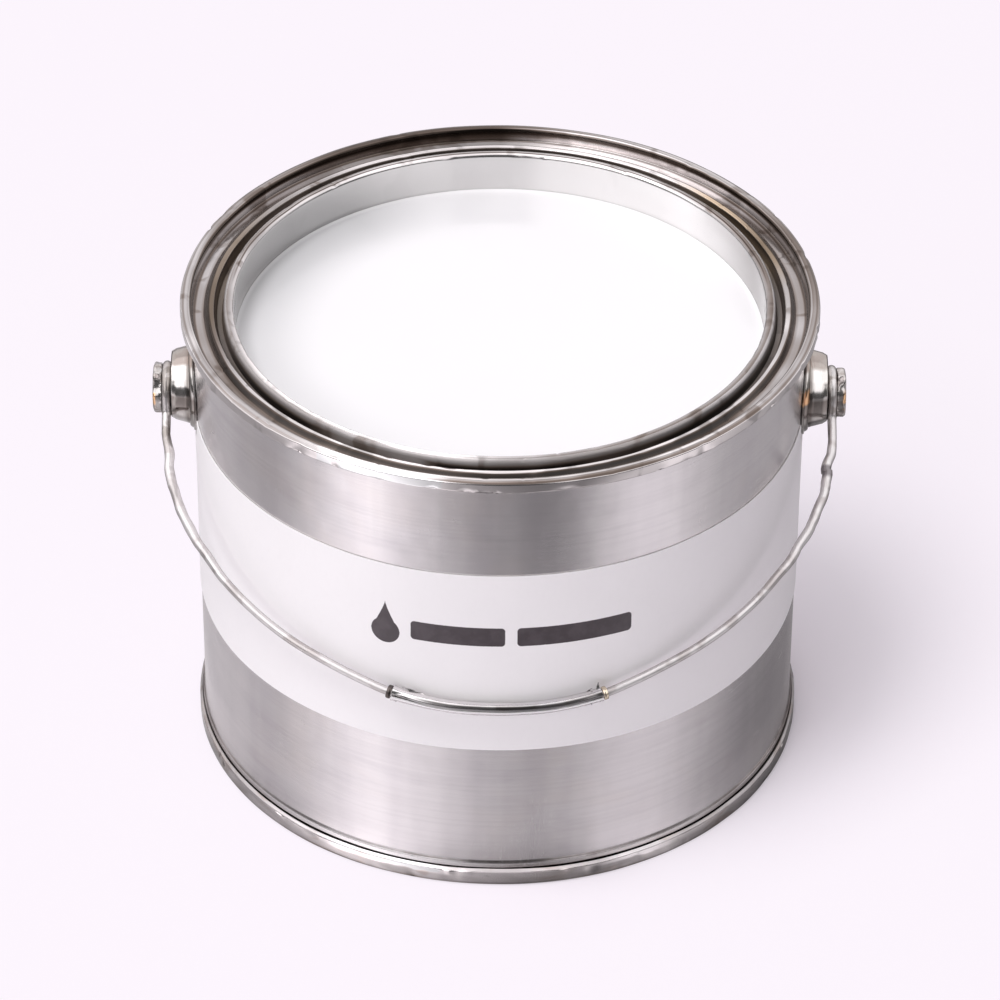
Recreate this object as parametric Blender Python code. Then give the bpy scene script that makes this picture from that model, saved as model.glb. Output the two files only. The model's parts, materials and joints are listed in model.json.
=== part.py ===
"""Open lever-lid paint can with a wire bail: double-seamed tinplate body, label, paint, riveted ears.

Frame: metres, +Z up, origin at the centre of the base plane, can axis on +Z, ears on +X and -X.
The front is -Y, where the bail rests against the wall. Left is -X and right is +X.
All sizes below are in millimetres; finish() converts them to metres.
"""
import math

import bmesh
import bpy
from mathutils import Matrix, Vector

MM = 0.001
SIDES = (("left", -1), ("right", 1))   # name and sign of X

# Sheet and fits
SHEET = 0.5                # tinplate thickness
HALF_SHEET = SHEET / 2
GAP = 0.3                  # gap between neighbouring pieces
MIN_MITER = 0.35           # limits how far a sheet's skins reach out at tight corners

# Can
SEGMENTS = 48              # around the can
CAN_HEIGHT = 136.4         # to the crown of the top seam
BODY_R = 82.5              # outside of the wall
TOP_SEAM_R = 85.95         # outside of the top seam
TOP_SEAM_LOW_Z = 133.15    # lower edge of the top seam
BOTTOM_SEAM_R = 84.06      # outside of the bottom seam
BOTTOM_SEAM_H = 4.6
HOOK_TOP_R = 84.95         # middle of the wall's hook inside the top seam
HOOK_TOP_Z = 134.75
HOOK_BOTTOM_R = 83.0       # middle of the wall's hook inside the bottom seam
HOOK_BOTTOM_Z = 1.65
BEAD_OUT = 0.45            # how far the wall's low bead stands out
MOUTH_R = 71.5             # inside of the neck
LIP_Z = 135.2              # top of the curled lip
NECK_BOTTOM_Z = 118.5
RING_BEAD_Z = 133.85       # middle of the sheet on the top ring's raised bead
RING_GROOVE_Z = 130.9      # middle of the sheet in the groove beside the lip
END_RIM_Z = 4.0            # middle of the sheet on the bottom end's outer annulus
END_PANEL_Z = 3.2          # middle of the sheet on the bottom end's central panel
PAINT_Z = 123.3            # surface of the paint
# seam compounds: inner radius, outer radius, low z, high z
TOP_COMPOUND = (83.9, 85.1, 135.3, 135.6)
BOTTOM_COMPOUND = (82.1, 83.1, 0.8, 1.1)

# Ears and rivets
EAR_SIDES = 24             # around an ear or a rivet
EAR_SHEET = 0.6
EAR_Z = 106.5              # centre of the ear cup
EAR_R = 10.6               # outside of the cup at the wall
EAR_TAPER = 1.25           # how much narrower the cup is at its face
EAR_FACE_X = 88.95         # outside of the face
EAR_EDGE = 0.75            # size of the rounding round the face
EAR_EDGE_MID = 0.22        # inset of that rounding's middle ring
EAR_FLANGE_R = 12.6
PIN_Z = 104.8              # hinge axis of the bail
PIN_R = 5.0
HEAD_R = 7.15
HEAD_INNER_X, HEAD_OUTER_X = 91.65, 94.1
TAIL_R = 6.6
TAIL_T = 1.2
TAIL_CHAMFER = 0.4

# Label
LABEL_LOW_Z, LABEL_HIGH_Z = 46.2, 104.1
LABEL_T = 0.25
NOTCH_R = 14.2             # round cut-out in the label under each ear
NOTCH_STEPS = 6            # extra columns on each side of a cut-out's centre

# Bail
WIRE_R = 1.05
WIRE_SIDES = 8
WIRE_STEPS = 2             # steps between neighbouring stations
EYE_X = 90.3               # plane of the bail's eye
EYE_R = 6.45               # centre-line radius of the eye
EYE_STEPS = 18
EYE_END = math.radians(342.0)        # where the eye stops, just short of a full turn
EYE_BEND_R = 2.0           # bend from the leg into the eye
EYE_BEND_STEPS = 3
BAIL_ANGLE = math.radians(63.43)     # bail plane, measured forward from straight down
BAIL_DOWN = Vector((0.0, -math.sin(BAIL_ANGLE), -math.cos(BAIL_ANGLE)))
BAIL_OUT = Vector((0.0, -math.cos(BAIL_ANGLE), math.sin(BAIL_ANGLE)))   # normal, forward and up
# half of the bail's centre line in its plane: distance from the middle, from the hinge axis
BAIL_STATIONS = [
    (0.0, 95.3), (14.0, 94.3), (28.0, 90.6), (36.5, 86.6), (47.0, 80.7),
    (56.0, 74.7), (65.0, 66.9), (73.0, 58.0), (78.6, 50.0), (82.6, 43.0),
    (85.6, 36.6), (87.7, 30.2), (89.1, 23.6), (89.9, 18.0), (EYE_X, 13.6),
]

# Grip sleeve and ferrules
GRIP_HALF_X = 27.6
GRIP_STEPS = 16            # along the sleeve
GRIP_ARC_STEPS = 9         # round the sleeve
GRIP_INNER_R, GRIP_OUTER_R = 1.35, 1.8
GRIP_SLIT = math.radians(24.0)       # angle left open by the slit
GRIP_SLIT_MIDDLE = math.radians(152.0)   # faces forward; 0 points at the hinge, 90 degrees outward
GRIP_LINE_STEPS = 16       # steps between stations on the finer line the grip follows
FERRULE_SIDES = 12
FERRULE_GAP = 0.4333       # across, from the sleeve's end to the ferrule
FERRULE_LEN = 0.9667       # across


# ---------------------------------------------------------------- helpers
def clear_scene():
    for obj in list(bpy.data.objects):
        bpy.data.objects.remove(obj, do_unlink=True)


def material(name, colour, roughness, metallic):
    mat = bpy.data.materials.new(name)
    mat.use_nodes = True
    bsdf = mat.node_tree.nodes["Principled BSDF"]
    bsdf.inputs["Base Color"].default_value = (*colour, 1.0)
    bsdf.inputs["Roughness"].default_value = roughness
    bsdf.inputs["Metallic"].default_value = metallic
    mat.diffuse_color = (*colour, 1.0)
    return mat


def metal(name, colour, roughness):
    return material(name, colour, roughness, metallic=1.0)


def nonmetal(name, colour, roughness):
    return material(name, colour, roughness, metallic=0.0)


def finish(name, bm, mat, parent=None, sharp=35.0):
    """Turn a bmesh in millimetres and world axes into an object; sharp is an angle in degrees."""
    bmesh.ops.recalc_face_normals(bm, faces=bm.faces[:])
    bmesh.ops.scale(bm, vec=(MM, MM, MM), verts=bm.verts[:])
    mesh = bpy.data.meshes.new(name)
    bm.to_mesh(mesh)
    bm.free()
    mesh.shade_smooth()
    mesh.set_sharp_from_angle(angle=math.radians(sharp))
    mesh.materials.append(mat)
    obj = bpy.data.objects.new(name, mesh)
    bpy.context.scene.collection.objects.link(obj)
    if parent is not None:
        mesh.transform(Matrix.Translation(-parent.location))
        obj.parent = parent


def skin(rings, closed=True):
    """Join each ring of points to the next; a ring of one point is a pole.

    A closed skin joins the last ring to the first, an open one is capped at both ends.
    """
    bm = bmesh.new()
    rings = [[bm.verts.new(point) for point in ring] for ring in rings]
    following = rings[1:] + rings[:1] if closed else rings[1:]
    for ring, after in zip(rings, following):
        count = max(len(ring), len(after))
        if count == 1:
            continue
        for k in range(count):
            k2 = (k + 1) % count
            corners = (ring[k % len(ring)], ring[k2 % len(ring)],
                       after[k2 % len(after)], after[k % len(after)])
            # at a pole two corners are the same vertex and the face is a triangle
            bm.faces.new(list(dict.fromkeys(corners)))
    if not closed:
        bm.faces.new(rings[0][::-1])
        bm.faces.new(rings[-1])
    return bm


def circle(radius, sides, start=0.0):
    angles = [start + 2 * math.pi * k / sides for k in range(sides)]
    return [(radius * math.cos(a), radius * math.sin(a)) for a in angles]


def lathe(outline, segments=SEGMENTS):
    """Spin a closed outline (r, z) about the Z axis. Points on the axis become poles."""
    return skin([
        [(x, y, z) for x, y in circle(r, segments)] if r > 1e-6 else [(0.0, 0.0, z)]
        for r, z in outline
    ])


def rounded(corners):
    """Polyline through corners (r, z) or (r, z, fillet radius, arc steps)."""
    points = []
    for i, (r, z, *fillet) in enumerate(corners):
        here = Vector((r, z))
        if not fillet:
            points.append(here)
            continue
        radius, steps = fillet
        before = (Vector(corners[i - 1][:2]) - here).normalized()
        after = (Vector(corners[i + 1][:2]) - here).normalized()
        half = before.angle(after) / 2.0
        run = radius / math.tan(half)
        centre = here + (before + after).normalized() * (radius / math.sin(half))
        start = here + before * run - centre
        end = here + after * run - centre
        turn = math.atan2(start.x * end.y - start.y * end.x, start.dot(end))
        for k in range(steps + 1):
            c = math.cos(turn * k / steps)
            s = math.sin(turn * k / steps)
            points.append(centre + Vector((start.x * c - start.y * s, start.x * s + start.y * c)))
    return points


def sheet(line):
    """Closed outline of tinplate whose middle follows the polyline line."""
    left, right = [], []
    directions = [(b - a).normalized() for a, b in zip(line, line[1:])]
    for point, d_in, d_out in zip(line, directions[:1] + directions, directions + directions[-1:]):
        normal_in, normal_out = Vector((-d_in.y, d_in.x)), Vector((-d_out.y, d_out.x))
        miter = (normal_in + normal_out).normalized()
        reach = HALF_SHEET / max(MIN_MITER, miter.dot(normal_in))
        left.append(point + miter * reach)
        right.append(point - miter * reach)
    return left + right[::-1]


def build_sheet_piece(name, corners, mat):
    finish(name, lathe(sheet(rounded(corners))), mat)


# ---------------------------------------------------------------- can body
def build_body_wall(mat):
    """Rolled wall: hook inside the top seam, straight sheet, low bead, hook in the bottom seam."""
    wall = BODY_R - HALF_SHEET
    bead = wall + BEAD_OUT
    build_sheet_piece("body_wall", [
        (HOOK_TOP_R, 133.85), (HOOK_TOP_R, HOOK_TOP_Z), (83.98, HOOK_TOP_Z),
        (83.93, 133.2, 0.6, 1), (wall, 131.2, 1.4, 1),
        (wall, 7.4), (bead, 6.6), (bead, 6.0), (wall, 5.2),
        (wall, HOOK_BOTTOM_Z), (HOOK_BOTTOM_R, HOOK_BOTTOM_Z), (HOOK_BOTTOM_R, 3.3),
    ], mat)


def build_top_ring(mat):
    """Lever-lid ring: seam wall, crown, sunk panel, bead, groove, curled lip and neck skirt."""
    seam, crown = TOP_SEAM_R - HALF_SHEET, CAN_HEIGHT - HALF_SHEET
    neck, lip = MOUTH_R + HALF_SHEET, LIP_Z - HALF_SHEET
    build_sheet_piece("top_ring", [
        (84.45, TOP_SEAM_LOW_Z), (seam, TOP_SEAM_LOW_Z, 0.6, 1),
        (seam, crown, 0.9, 2), (83.35, crown, 0.7, 2),
        (82.85, 132.45, 0.7, 1), (79.5, 132.55),
        (78.2, RING_BEAD_Z, 0.4, 1), (76.95, RING_BEAD_Z, 0.5, 1),
        (76.4, RING_GROOVE_Z), (74.35, RING_GROOVE_Z),
        (73.95, lip, 0.9, 2), (neck, lip, 0.9, 2), (neck, NECK_BOTTOM_Z),
    ], mat)


def build_bottom_end(mat):
    """Stamped bottom end: seam wall, base annulus, countersink wall, panel with one round step."""
    seam = BOTTOM_SEAM_R - HALF_SHEET
    build_sheet_piece("bottom_end", [
        (seam, BOTTOM_SEAM_H), (seam, HALF_SHEET, 0.6, 2), (81.15, HALF_SHEET, 0.5, 1),
        (81.05, END_RIM_Z, 0.6, 1), (66.5, END_RIM_Z), (65.5, END_PANEL_Z), (0.0, END_PANEL_Z),
    ], mat)


def build_compound(name, size, mat):
    """Flat ring of sealing compound inside a seam."""
    r_in, r_out, z_low, z_high = size
    finish(name, lathe([(r_in, z_low), (r_out, z_low), (r_out, z_high), (r_in, z_high)]), mat)


def build_paint(mat):
    """Contents: fill the can to PAINT_Z, with a slot where the neck skirt dips in."""
    wall = BODY_R - SHEET - GAP
    floor = END_RIM_Z + HALF_SHEET + GAP
    slot_in, slot_out = MOUTH_R - GAP, MOUTH_R + SHEET + GAP
    slot_z = NECK_BOTTOM_Z - GAP
    finish("paint", lathe([
        (0.0, floor), (wall, floor), (wall, PAINT_Z), (slot_out, PAINT_Z),
        (slot_out, slot_z), (slot_in, slot_z), (slot_in, PAINT_Z), (0.0, PAINT_Z),
    ]), mat)


# ---------------------------------------------------------------- label
def label_angles():
    """Columns of the label: the wall's own columns, with finer ones across each ear cut-out."""
    # in degrees, rounded so that coinciding columns merge
    angles = {round(360.0 * k / SEGMENTS, 4) for k in range(SEGMENTS)}
    reach = math.degrees(NOTCH_R / BODY_R)
    for centre in (0.0, 180.0):
        for k in range(-NOTCH_STEPS, NOTCH_STEPS + 1):
            offset = reach * math.sin(math.pi / 2 * k / NOTCH_STEPS)
            angles.add(round((centre + offset) % 360.0, 4))
    return [math.radians(a) for a in sorted(angles)]


def label_top(angle):
    """Upper edge of the label: level, with a round cut-out under each ear."""
    to_ear = min(abs((angle - ear + math.pi) % (2 * math.pi) - math.pi) for ear in (0.0, math.pi))
    arc = to_ear * BODY_R
    if arc >= NOTCH_R:
        return LABEL_HIGH_Z
    return min(LABEL_HIGH_Z, EAR_Z - math.sqrt(NOTCH_R ** 2 - arc ** 2))


def build_label(mat):
    """Paper band round the wall, built from four-point columns."""
    r_in = BODY_R + GAP
    r_out = r_in + LABEL_T
    columns = []
    for angle in label_angles():
        top = label_top(angle)
        section = ((r_in, LABEL_LOW_Z), (r_out, LABEL_LOW_Z), (r_out, top), (r_in, top))
        columns.append([(r * math.cos(angle), r * math.sin(angle), z) for r, z in section])
    finish("label", skin(columns), mat)


# ---------------------------------------------------------------- ears and rivets
def build_ear(name, side, mat):
    """Conical cup on a saddle flange that follows the wall, with a rivet hole in its face."""
    hole_r = PIN_R + GAP
    face_r = EAR_R - EAR_TAPER
    face_in = EAR_FACE_X - EAR_SHEET
    saddle_in = BODY_R + GAP
    saddle_out = saddle_in + EAR_SHEET
    # ring radius, centre z, lies on the saddle, its x (on the saddle: the saddle's radius);
    # from the hole outwards over the outer skin, then back along the inner skin
    rings = [
        (hole_r, PIN_Z, False, EAR_FACE_X),
        (face_r - EAR_EDGE, EAR_Z, False, EAR_FACE_X),
        (face_r - EAR_EDGE_MID, EAR_Z, False, EAR_FACE_X - EAR_EDGE_MID),
        (face_r, EAR_Z, False, EAR_FACE_X - EAR_EDGE),
        (EAR_R, EAR_Z, True, saddle_out),
        (EAR_FLANGE_R, EAR_Z, True, saddle_out),
        (EAR_FLANGE_R, EAR_Z, True, saddle_in),
        (EAR_R - EAR_SHEET, EAR_Z, True, saddle_in),
        (face_r - EAR_SHEET, EAR_Z, False, face_in),
        (hole_r, PIN_Z, False, face_in),
    ]
    loops = []
    for radius, centre_z, on_saddle, x in rings:
        loops.append([
            (side * (math.sqrt(x * x - y * y) if on_saddle else x), y, centre_z + z)
            for y, z in circle(radius, EAR_SIDES)
        ])
    finish(name, skin(loops), mat)


def build_rivet(name, side, mat):
    """Shouldered rivet: tail inside the cup, shank, flat head with a rounded rim outside the eye."""
    tail_outer = EAR_FACE_X - EAR_SHEET - GAP
    tail_inner = tail_outer - TAIL_T
    # radius, distance from the can's axis
    bm = lathe([
        (0.0, tail_inner), (TAIL_R - TAIL_CHAMFER, tail_inner),
        (TAIL_R, tail_inner + TAIL_CHAMFER), (TAIL_R, tail_outer),
        (PIN_R, tail_outer), (PIN_R, HEAD_INNER_X), (HEAD_R, HEAD_INNER_X),
        (HEAD_R, HEAD_OUTER_X - 0.9), (HEAD_R - 0.35, HEAD_OUTER_X - 0.3),
        (HEAD_R - 1.2, HEAD_OUTER_X), (0.0, HEAD_OUTER_X),
    ], EAR_SIDES)
    turn = Matrix.Rotation(math.radians(90.0 * side), 4, "Y")
    place = Matrix.Translation((0, 0, PIN_Z)) @ turn
    bmesh.ops.transform(bm, matrix=place, verts=bm.verts[:])
    finish(name, bm, mat)


# ---------------------------------------------------------------- bail
def bail_point(x, down, out=0.0):
    """Point at x across, down from the hinge axis in the bail's plane, out in front of it."""
    return Vector((x, 0.0, PIN_Z)) + BAIL_DOWN * down + BAIL_OUT * out


def blend(a, b, t_a, t_b, t):
    """Straight line that passes a at t_a and b at t_b, taken at t."""
    return a * ((t_b - t) / (t_b - t_a)) + b * ((t - t_a) / (t_b - t_a))


def bail_line(per_span):
    """Centripetal Catmull-Rom spline through the bail's stations, mirrored about the middle."""
    points = [Vector((-x, down)) for x, down in BAIL_STATIONS[:0:-1]]
    points += [Vector(station) for station in BAIL_STATIONS]
    # one more point past each end, reflected through it
    extended = [points[0] * 2 - points[1], *points, points[-1] * 2 - points[-2]]
    line = []
    for i in range(len(points) - 1):
        p0, p1, p2, p3 = extended[i:i + 4]
        t0 = 0.0
        t1 = t0 + math.sqrt((p1 - p0).length)
        t2 = t1 + math.sqrt((p2 - p1).length)
        t3 = t2 + math.sqrt((p3 - p2).length)
        for k in range(per_span):
            t = t1 + (t2 - t1) * k / per_span
            a1 = blend(p0, p1, t0, t1, t)
            a2 = blend(p1, p2, t1, t2, t)
            a3 = blend(p2, p3, t2, t3, t)
            b1 = blend(a1, a2, t0, t2, t)
            b2 = blend(a2, a3, t1, t3, t)
            line.append(blend(b1, b2, t1, t2, t))
    line.append(points[-1])
    return line


def bail_points_at(across):
    """Points of the bail's centre line at the given distances across."""
    line = bail_line(GRIP_LINE_STEPS)
    points = []
    for x in across:
        a, b = next((a, b) for a, b in zip(line, line[1:]) if a.x <= x <= b.x)
        points.append(bail_point(x, a.y + (b.y - a.y) * (x - a.x) / (b.x - a.x)))
    return points


def eye_points(side):
    """Centred eye: the leg bends aside, then runs round the rivet and stops short of itself."""
    x = side * EYE_X
    bend_down = math.sqrt((EYE_R + EYE_BEND_R) ** 2 - EYE_BEND_R ** 2)
    start = math.atan2(EYE_BEND_R, bend_down)
    points = []
    for k in range(EYE_BEND_STEPS + 1):
        a = -math.pi / 2 - (math.pi / 2 - start) * k / EYE_BEND_STEPS
        points.append(bail_point(x, bend_down + EYE_BEND_R * math.cos(a),
                                 EYE_BEND_R + EYE_BEND_R * math.sin(a)))
    for k in range(1, EYE_STEPS + 1):
        a = start + (EYE_END - start) * k / EYE_STEPS
        points.append(bail_point(x, EYE_R * math.cos(a), EYE_R * math.sin(a)))
    return points


def tangents(path):
    """Direction at each point of a path, from its neighbours."""
    return [(after - before).normalized()
            for before, after in zip(path[:1] + path[:-1], path[1:] + path[-1:])]


def place_section(section, centre, across, over):
    return [centre + across * u + over * v for u, v in section]


def upright_axes(tangent):
    """Section axes on the grip: towards the hinge, and out of the bail's plane."""
    across = BAIL_OUT.cross(tangent).normalized()
    return across, tangent.cross(across)


def build_bail_wire(mat, pivot):
    """Wire from the left eye to the right, its section carried along without twisting."""
    middle = [bail_point(p.x, p.y) for p in bail_line(WIRE_STEPS)]
    path = eye_points(-1)[::-1] + middle + eye_points(1)
    section = circle(WIRE_R, WIRE_SIDES, start=math.pi / WIRE_SIDES)
    normal = Vector((1.0, 0.0, 0.0))
    rings = []
    for point, tangent in zip(path, tangents(path)):
        normal = (normal - tangent * normal.dot(tangent)).normalized()
        rings.append(place_section(section, point, normal, tangent.cross(normal)))
    finish("bail_wire", skin(rings, closed=False), mat, pivot, sharp=50.0)


def build_grip(mat, pivot):
    """Rolled sheet sleeve on the middle of the bail, with a slit along its front."""
    start, sweep = GRIP_SLIT_MIDDLE + GRIP_SLIT / 2, 2 * math.pi - GRIP_SLIT
    angles = [start + sweep * k / GRIP_ARC_STEPS for k in range(GRIP_ARC_STEPS + 1)]
    section = [(radius * math.cos(a), radius * math.sin(a))
               for radius, run in ((GRIP_OUTER_R, angles), (GRIP_INNER_R, angles[::-1]))
               for a in run]
    path = bail_points_at([-GRIP_HALF_X + 2 * GRIP_HALF_X * k / GRIP_STEPS
                           for k in range(GRIP_STEPS + 1)])
    rings = [place_section(section, point, *upright_axes(tangent))
             for point, tangent in zip(path, tangents(path))]
    finish("grip_sleeve", skin(rings, closed=False), mat, pivot, sharp=40.0)


def build_ferrule(name, side, mat, pivot):
    """Closed end ring beside the sleeve's mouth."""
    near = GRIP_HALF_X + FERRULE_GAP
    low, high = bail_points_at(sorted((side * near, side * (near + FERRULE_LEN))))
    axes = upright_axes((high - low).normalized())
    corners = ((low, GRIP_INNER_R), (low, GRIP_OUTER_R), (high, GRIP_OUTER_R), (high, GRIP_INNER_R))
    rings = [place_section(circle(radius, FERRULE_SIDES), centre, *axes)
             for centre, radius in corners]
    finish(name, skin(rings), mat, pivot, sharp=40.0)


def build_pivot():
    """Empty on the hinge axis that carries the bail."""
    pivot = bpy.data.objects.new("bail_pivot", None)
    pivot.location = (0.0, 0.0, PIN_Z * MM)
    bpy.context.scene.collection.objects.link(pivot)
    return pivot


# ---------------------------------------------------------------- assembly
def build_can():
    build_body_wall(metal("tinplate_satin", colour=(0.62, 0.60, 0.62), roughness=0.34))
    build_top_ring(metal("tinplate_ring", colour=(0.62, 0.60, 0.60), roughness=0.2))
    build_bottom_end(metal("tinplate_end", colour=(0.60, 0.58, 0.60), roughness=0.3))
    for place, size in (("top", TOP_COMPOUND), ("bottom", BOTTOM_COMPOUND)):
        compound = nonmetal(f"compound_{place}", colour=(0.32, 0.28, 0.24), roughness=0.7)
        build_compound(f"{place}_seam_compound", size, compound)
    build_paint(nonmetal("paint_white", colour=(0.95, 0.94, 0.95), roughness=0.25))
    build_label(nonmetal("label_paper", colour=(0.86, 0.85, 0.86), roughness=0.55))


def build_hinges():
    for word, side in SIDES:
        ear = metal(f"ear_steel_{word}", colour=(0.58, 0.57, 0.56), roughness=0.22)
        build_ear(f"ear_{word}", side, ear)
        rivet = metal(f"rivet_steel_{word}", colour=(0.55, 0.53, 0.51), roughness=0.3)
        build_rivet(f"rivet_{word}", side, rivet)


def build_bail():
    pivot = build_pivot()
    build_bail_wire(metal("wire_steel", colour=(0.56, 0.55, 0.56), roughness=0.28), pivot)
    build_grip(metal("sleeve_steel", colour=(0.6, 0.59, 0.6), roughness=0.22), pivot)
    for word, side in SIDES:
        ferrule = metal(f"ferrule_steel_{word}", colour=(0.58, 0.55, 0.5), roughness=0.3)
        build_ferrule(f"grip_ferrule_{word}", side, ferrule, pivot)


def main():
    clear_scene()
    build_can()
    build_hinges()
    build_bail()
    bpy.context.view_layer.update()


main()
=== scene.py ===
"""Looks for an open paint can: fine meshes, node materials, floor, light and camera.

The can stands upright on z = 0 with its axis on Z. The ears sit at -X (left) and +X (right), the
side seam at +Y (back), and the bail leans down to -Y (front), where the camera is.
Shapes are worked out in millimetres and stored in metres. Bearings are degrees round the can
from the front, positive to the right.
"""
import json
import math

import bmesh
import bpy
import numpy as np
from mathutils import Matrix, Vector


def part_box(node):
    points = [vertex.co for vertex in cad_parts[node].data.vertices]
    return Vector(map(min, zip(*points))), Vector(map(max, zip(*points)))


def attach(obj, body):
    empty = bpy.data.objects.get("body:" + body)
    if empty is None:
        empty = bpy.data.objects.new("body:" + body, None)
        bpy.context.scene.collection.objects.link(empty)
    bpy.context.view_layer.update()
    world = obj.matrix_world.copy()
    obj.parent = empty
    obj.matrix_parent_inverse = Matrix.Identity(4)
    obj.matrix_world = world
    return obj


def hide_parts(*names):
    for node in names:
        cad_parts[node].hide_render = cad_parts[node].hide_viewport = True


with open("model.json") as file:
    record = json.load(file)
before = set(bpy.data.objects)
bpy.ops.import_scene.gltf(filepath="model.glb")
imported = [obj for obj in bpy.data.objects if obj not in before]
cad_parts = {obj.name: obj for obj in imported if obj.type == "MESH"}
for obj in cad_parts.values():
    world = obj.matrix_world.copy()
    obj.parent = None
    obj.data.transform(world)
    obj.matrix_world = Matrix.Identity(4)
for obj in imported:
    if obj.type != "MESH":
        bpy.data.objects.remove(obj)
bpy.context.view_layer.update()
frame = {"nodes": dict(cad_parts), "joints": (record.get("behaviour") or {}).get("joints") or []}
MM = 0.001
TURN = 2 * math.pi
DEGREES = 180 / math.pi


# ------------------------------------------------------------------ sizes, in millimetres
def node_box(name):
    low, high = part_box(name)
    return low / MM, high / MM


RING_LO, RING_HI = node_box("top_ring")
LABEL_LO, LABEL_HI = node_box("label")
PAINT_LO, PAINT_HI = node_box("paint")
CAN_H = RING_HI.z
SEAM_R = RING_HI.x
BASE_R = node_box("bottom_end")[1].x
PIN = Vector(frame["joints"][0]["pos_m"]) / MM      # hinge of the bail
SHEET = 0.5                                         # tinplate thickness
BODY_R = LABEL_HI.x - 0.55
MOUTH_R = 71.5
LIP_Z = CAN_H - 1.2
NECK_Z = RING_LO.z
PAINT_Z = PAINT_HI.z

EAR_Z, EAR_R, EAR_FACE = 106.5, 10.6, 88.95         # centre height, cup radius, x of its face
EAR_SHEET = 0.6
EAR_FLANGE = EAR_R + 2.0
CUP_ROOT_X, CUP_ROOT_R, CUP_TAPER = 84.2, EAR_R + 0.05, 0.27
LABEL_NOTCH_R = 14.2
PIN_R, HEAD_R = 5.0, 7.15                           # rivet shank and head
HEAD_X = (91.65, 94.1)

WIRE_R = 1.05
EYE_X, EYE_R, EYE_BEND = 90.3, 6.45, 2.0            # end loops of the bail wire
BAIL_LEAN = math.radians(63.43)                     # from hanging straight down to the front
DOWN = Vector((0.0, -math.sin(BAIL_LEAN), -math.cos(BAIL_LEAN)))    # hinge to grip
OUT = Vector((0.0, -math.cos(BAIL_LEAN), math.sin(BAIL_LEAN)))      # across the bail's plane
# centre line of one half of the bail: distance from the middle, distance from the hinge
STATIONS = [
    (0.0, 95.3), (14.0, 94.3), (28.0, 90.6), (36.5, 86.6), (47.0, 80.7),
    (56.0, 74.7), (65.0, 66.9), (73.0, 58.0), (78.6, 50.0), (82.6, 43.0),
    (85.6, 36.6), (87.7, 30.2), (89.1, 23.6), (89.9, 18.0), (90.3, 13.6),
]
GRIP_HALF, GRIP_IN, GRIP_OUT = 27.6, 1.35, 1.8      # half length, inner and outer radius
FERRULE_GAP, FERRULE_LENGTH = 0.3, 1.1


# ------------------------------------------------------------------ profile helpers
def fillet(corners):
    """Polyline through corners (r, z, radius, steps), each corner turned into an arc."""
    points = []
    for i, (r, z, radius, steps) in enumerate(corners):
        here = Vector((r, z))
        if radius <= 0 or i in (0, len(corners) - 1):
            points.append(here)
            continue
        before = (Vector(corners[i - 1][:2]) - here).normalized()
        after = (Vector(corners[i + 1][:2]) - here).normalized()
        half = before.angle(after) / 2
        run = radius / math.tan(half)
        centre = here + (before + after).normalized() * (radius / math.sin(half))
        start, end = here + before * run - centre, here + after * run - centre
        sweep_angle = math.atan2(start.x * end.y - start.y * end.x, start.dot(end))
        for k in range(steps + 1):
            angle = sweep_angle * k / steps
            cos, sin = math.cos(angle), math.sin(angle)
            points.append(centre + Vector((start.x * cos - start.y * sin,
                                           start.x * sin + start.y * cos)))
    return points


def densify(line, step):
    """Adds points so that no span is longer than step."""
    points = [line[0]]
    for a, b in zip(line, line[1:]):
        count = max(1, math.ceil((b - a).length / step))
        points += [a + (b - a) * (k / count) for k in range(1, count + 1)]
    return points


def sheet(line, thickness, edge=2):
    """Closed outline of a sheet around a middle line; edge points round each raw edge."""
    left, right = [], []
    for i, point in enumerate(line):
        before = (point - line[i - 1]).normalized() if i > 0 else None
        after = (line[i + 1] - point).normalized() if i < len(line) - 1 else None
        before, after = before or after, after or before
        normal = Vector((-before.y, before.x))
        mitre = (normal + Vector((-after.y, after.x))).normalized()
        reach = thickness / 2 / max(0.35, mitre.dot(normal))
        left.append(point + mitre * reach)
        right.append(point - mitre * reach)

    def cap(point, direction):
        normal = Vector((-direction.y, direction.x))
        angles = [math.pi * k / (edge + 1) for k in range(1, edge + 1)]
        return [point + normal * (math.cos(a) * thickness / 2)
                + direction * (math.sin(a) * thickness / 2) for a in angles]

    end = cap(line[-1], (line[-1] - line[-2]).normalized())
    begin = cap(line[0], (line[0] - line[1]).normalized())
    return left + end + right[::-1] + begin


# ------------------------------------------------------------------ mesh helpers
def add_mesh(name, verts, faces, sharp):
    """Smooth-shaded object from millimetre vertices; edges over sharp degrees stay hard."""
    mesh = bpy.data.meshes.new(name)
    mesh.from_pydata([tuple(v) for v in (np.asarray(verts) * MM)], [], faces)
    bm = bmesh.new()
    bm.from_mesh(mesh)
    bmesh.ops.recalc_face_normals(bm, faces=bm.faces[:])
    bm.to_mesh(mesh)
    bm.free()
    mesh.shade_smooth()
    mesh.set_sharp_from_angle(angle=math.radians(sharp))
    obj = bpy.data.objects.new(name, mesh)
    bpy.context.scene.collection.objects.link(obj)
    return obj


def add_loft(name, rings, sharp, closed=True):
    """Skin over rings of equal size; closed joins last to first, otherwise both ends are capped."""
    size = len(rings[0])
    verts = [point for ring in rings for point in ring]
    starts = [size * i for i in range(len(rings))]
    faces = []
    for a, b in zip(starts, starts[1:] + (starts[:1] if closed else [])):
        for k in range(size):
            after = (k + 1) % size
            faces.append((a + k, a + after, b + after, b + k))
    if not closed:
        faces.append(tuple(range(size))[::-1])
        faces.append(tuple(range(starts[-1], starts[-1] + size)))
    return add_mesh(name, verts, faces, sharp)


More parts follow.
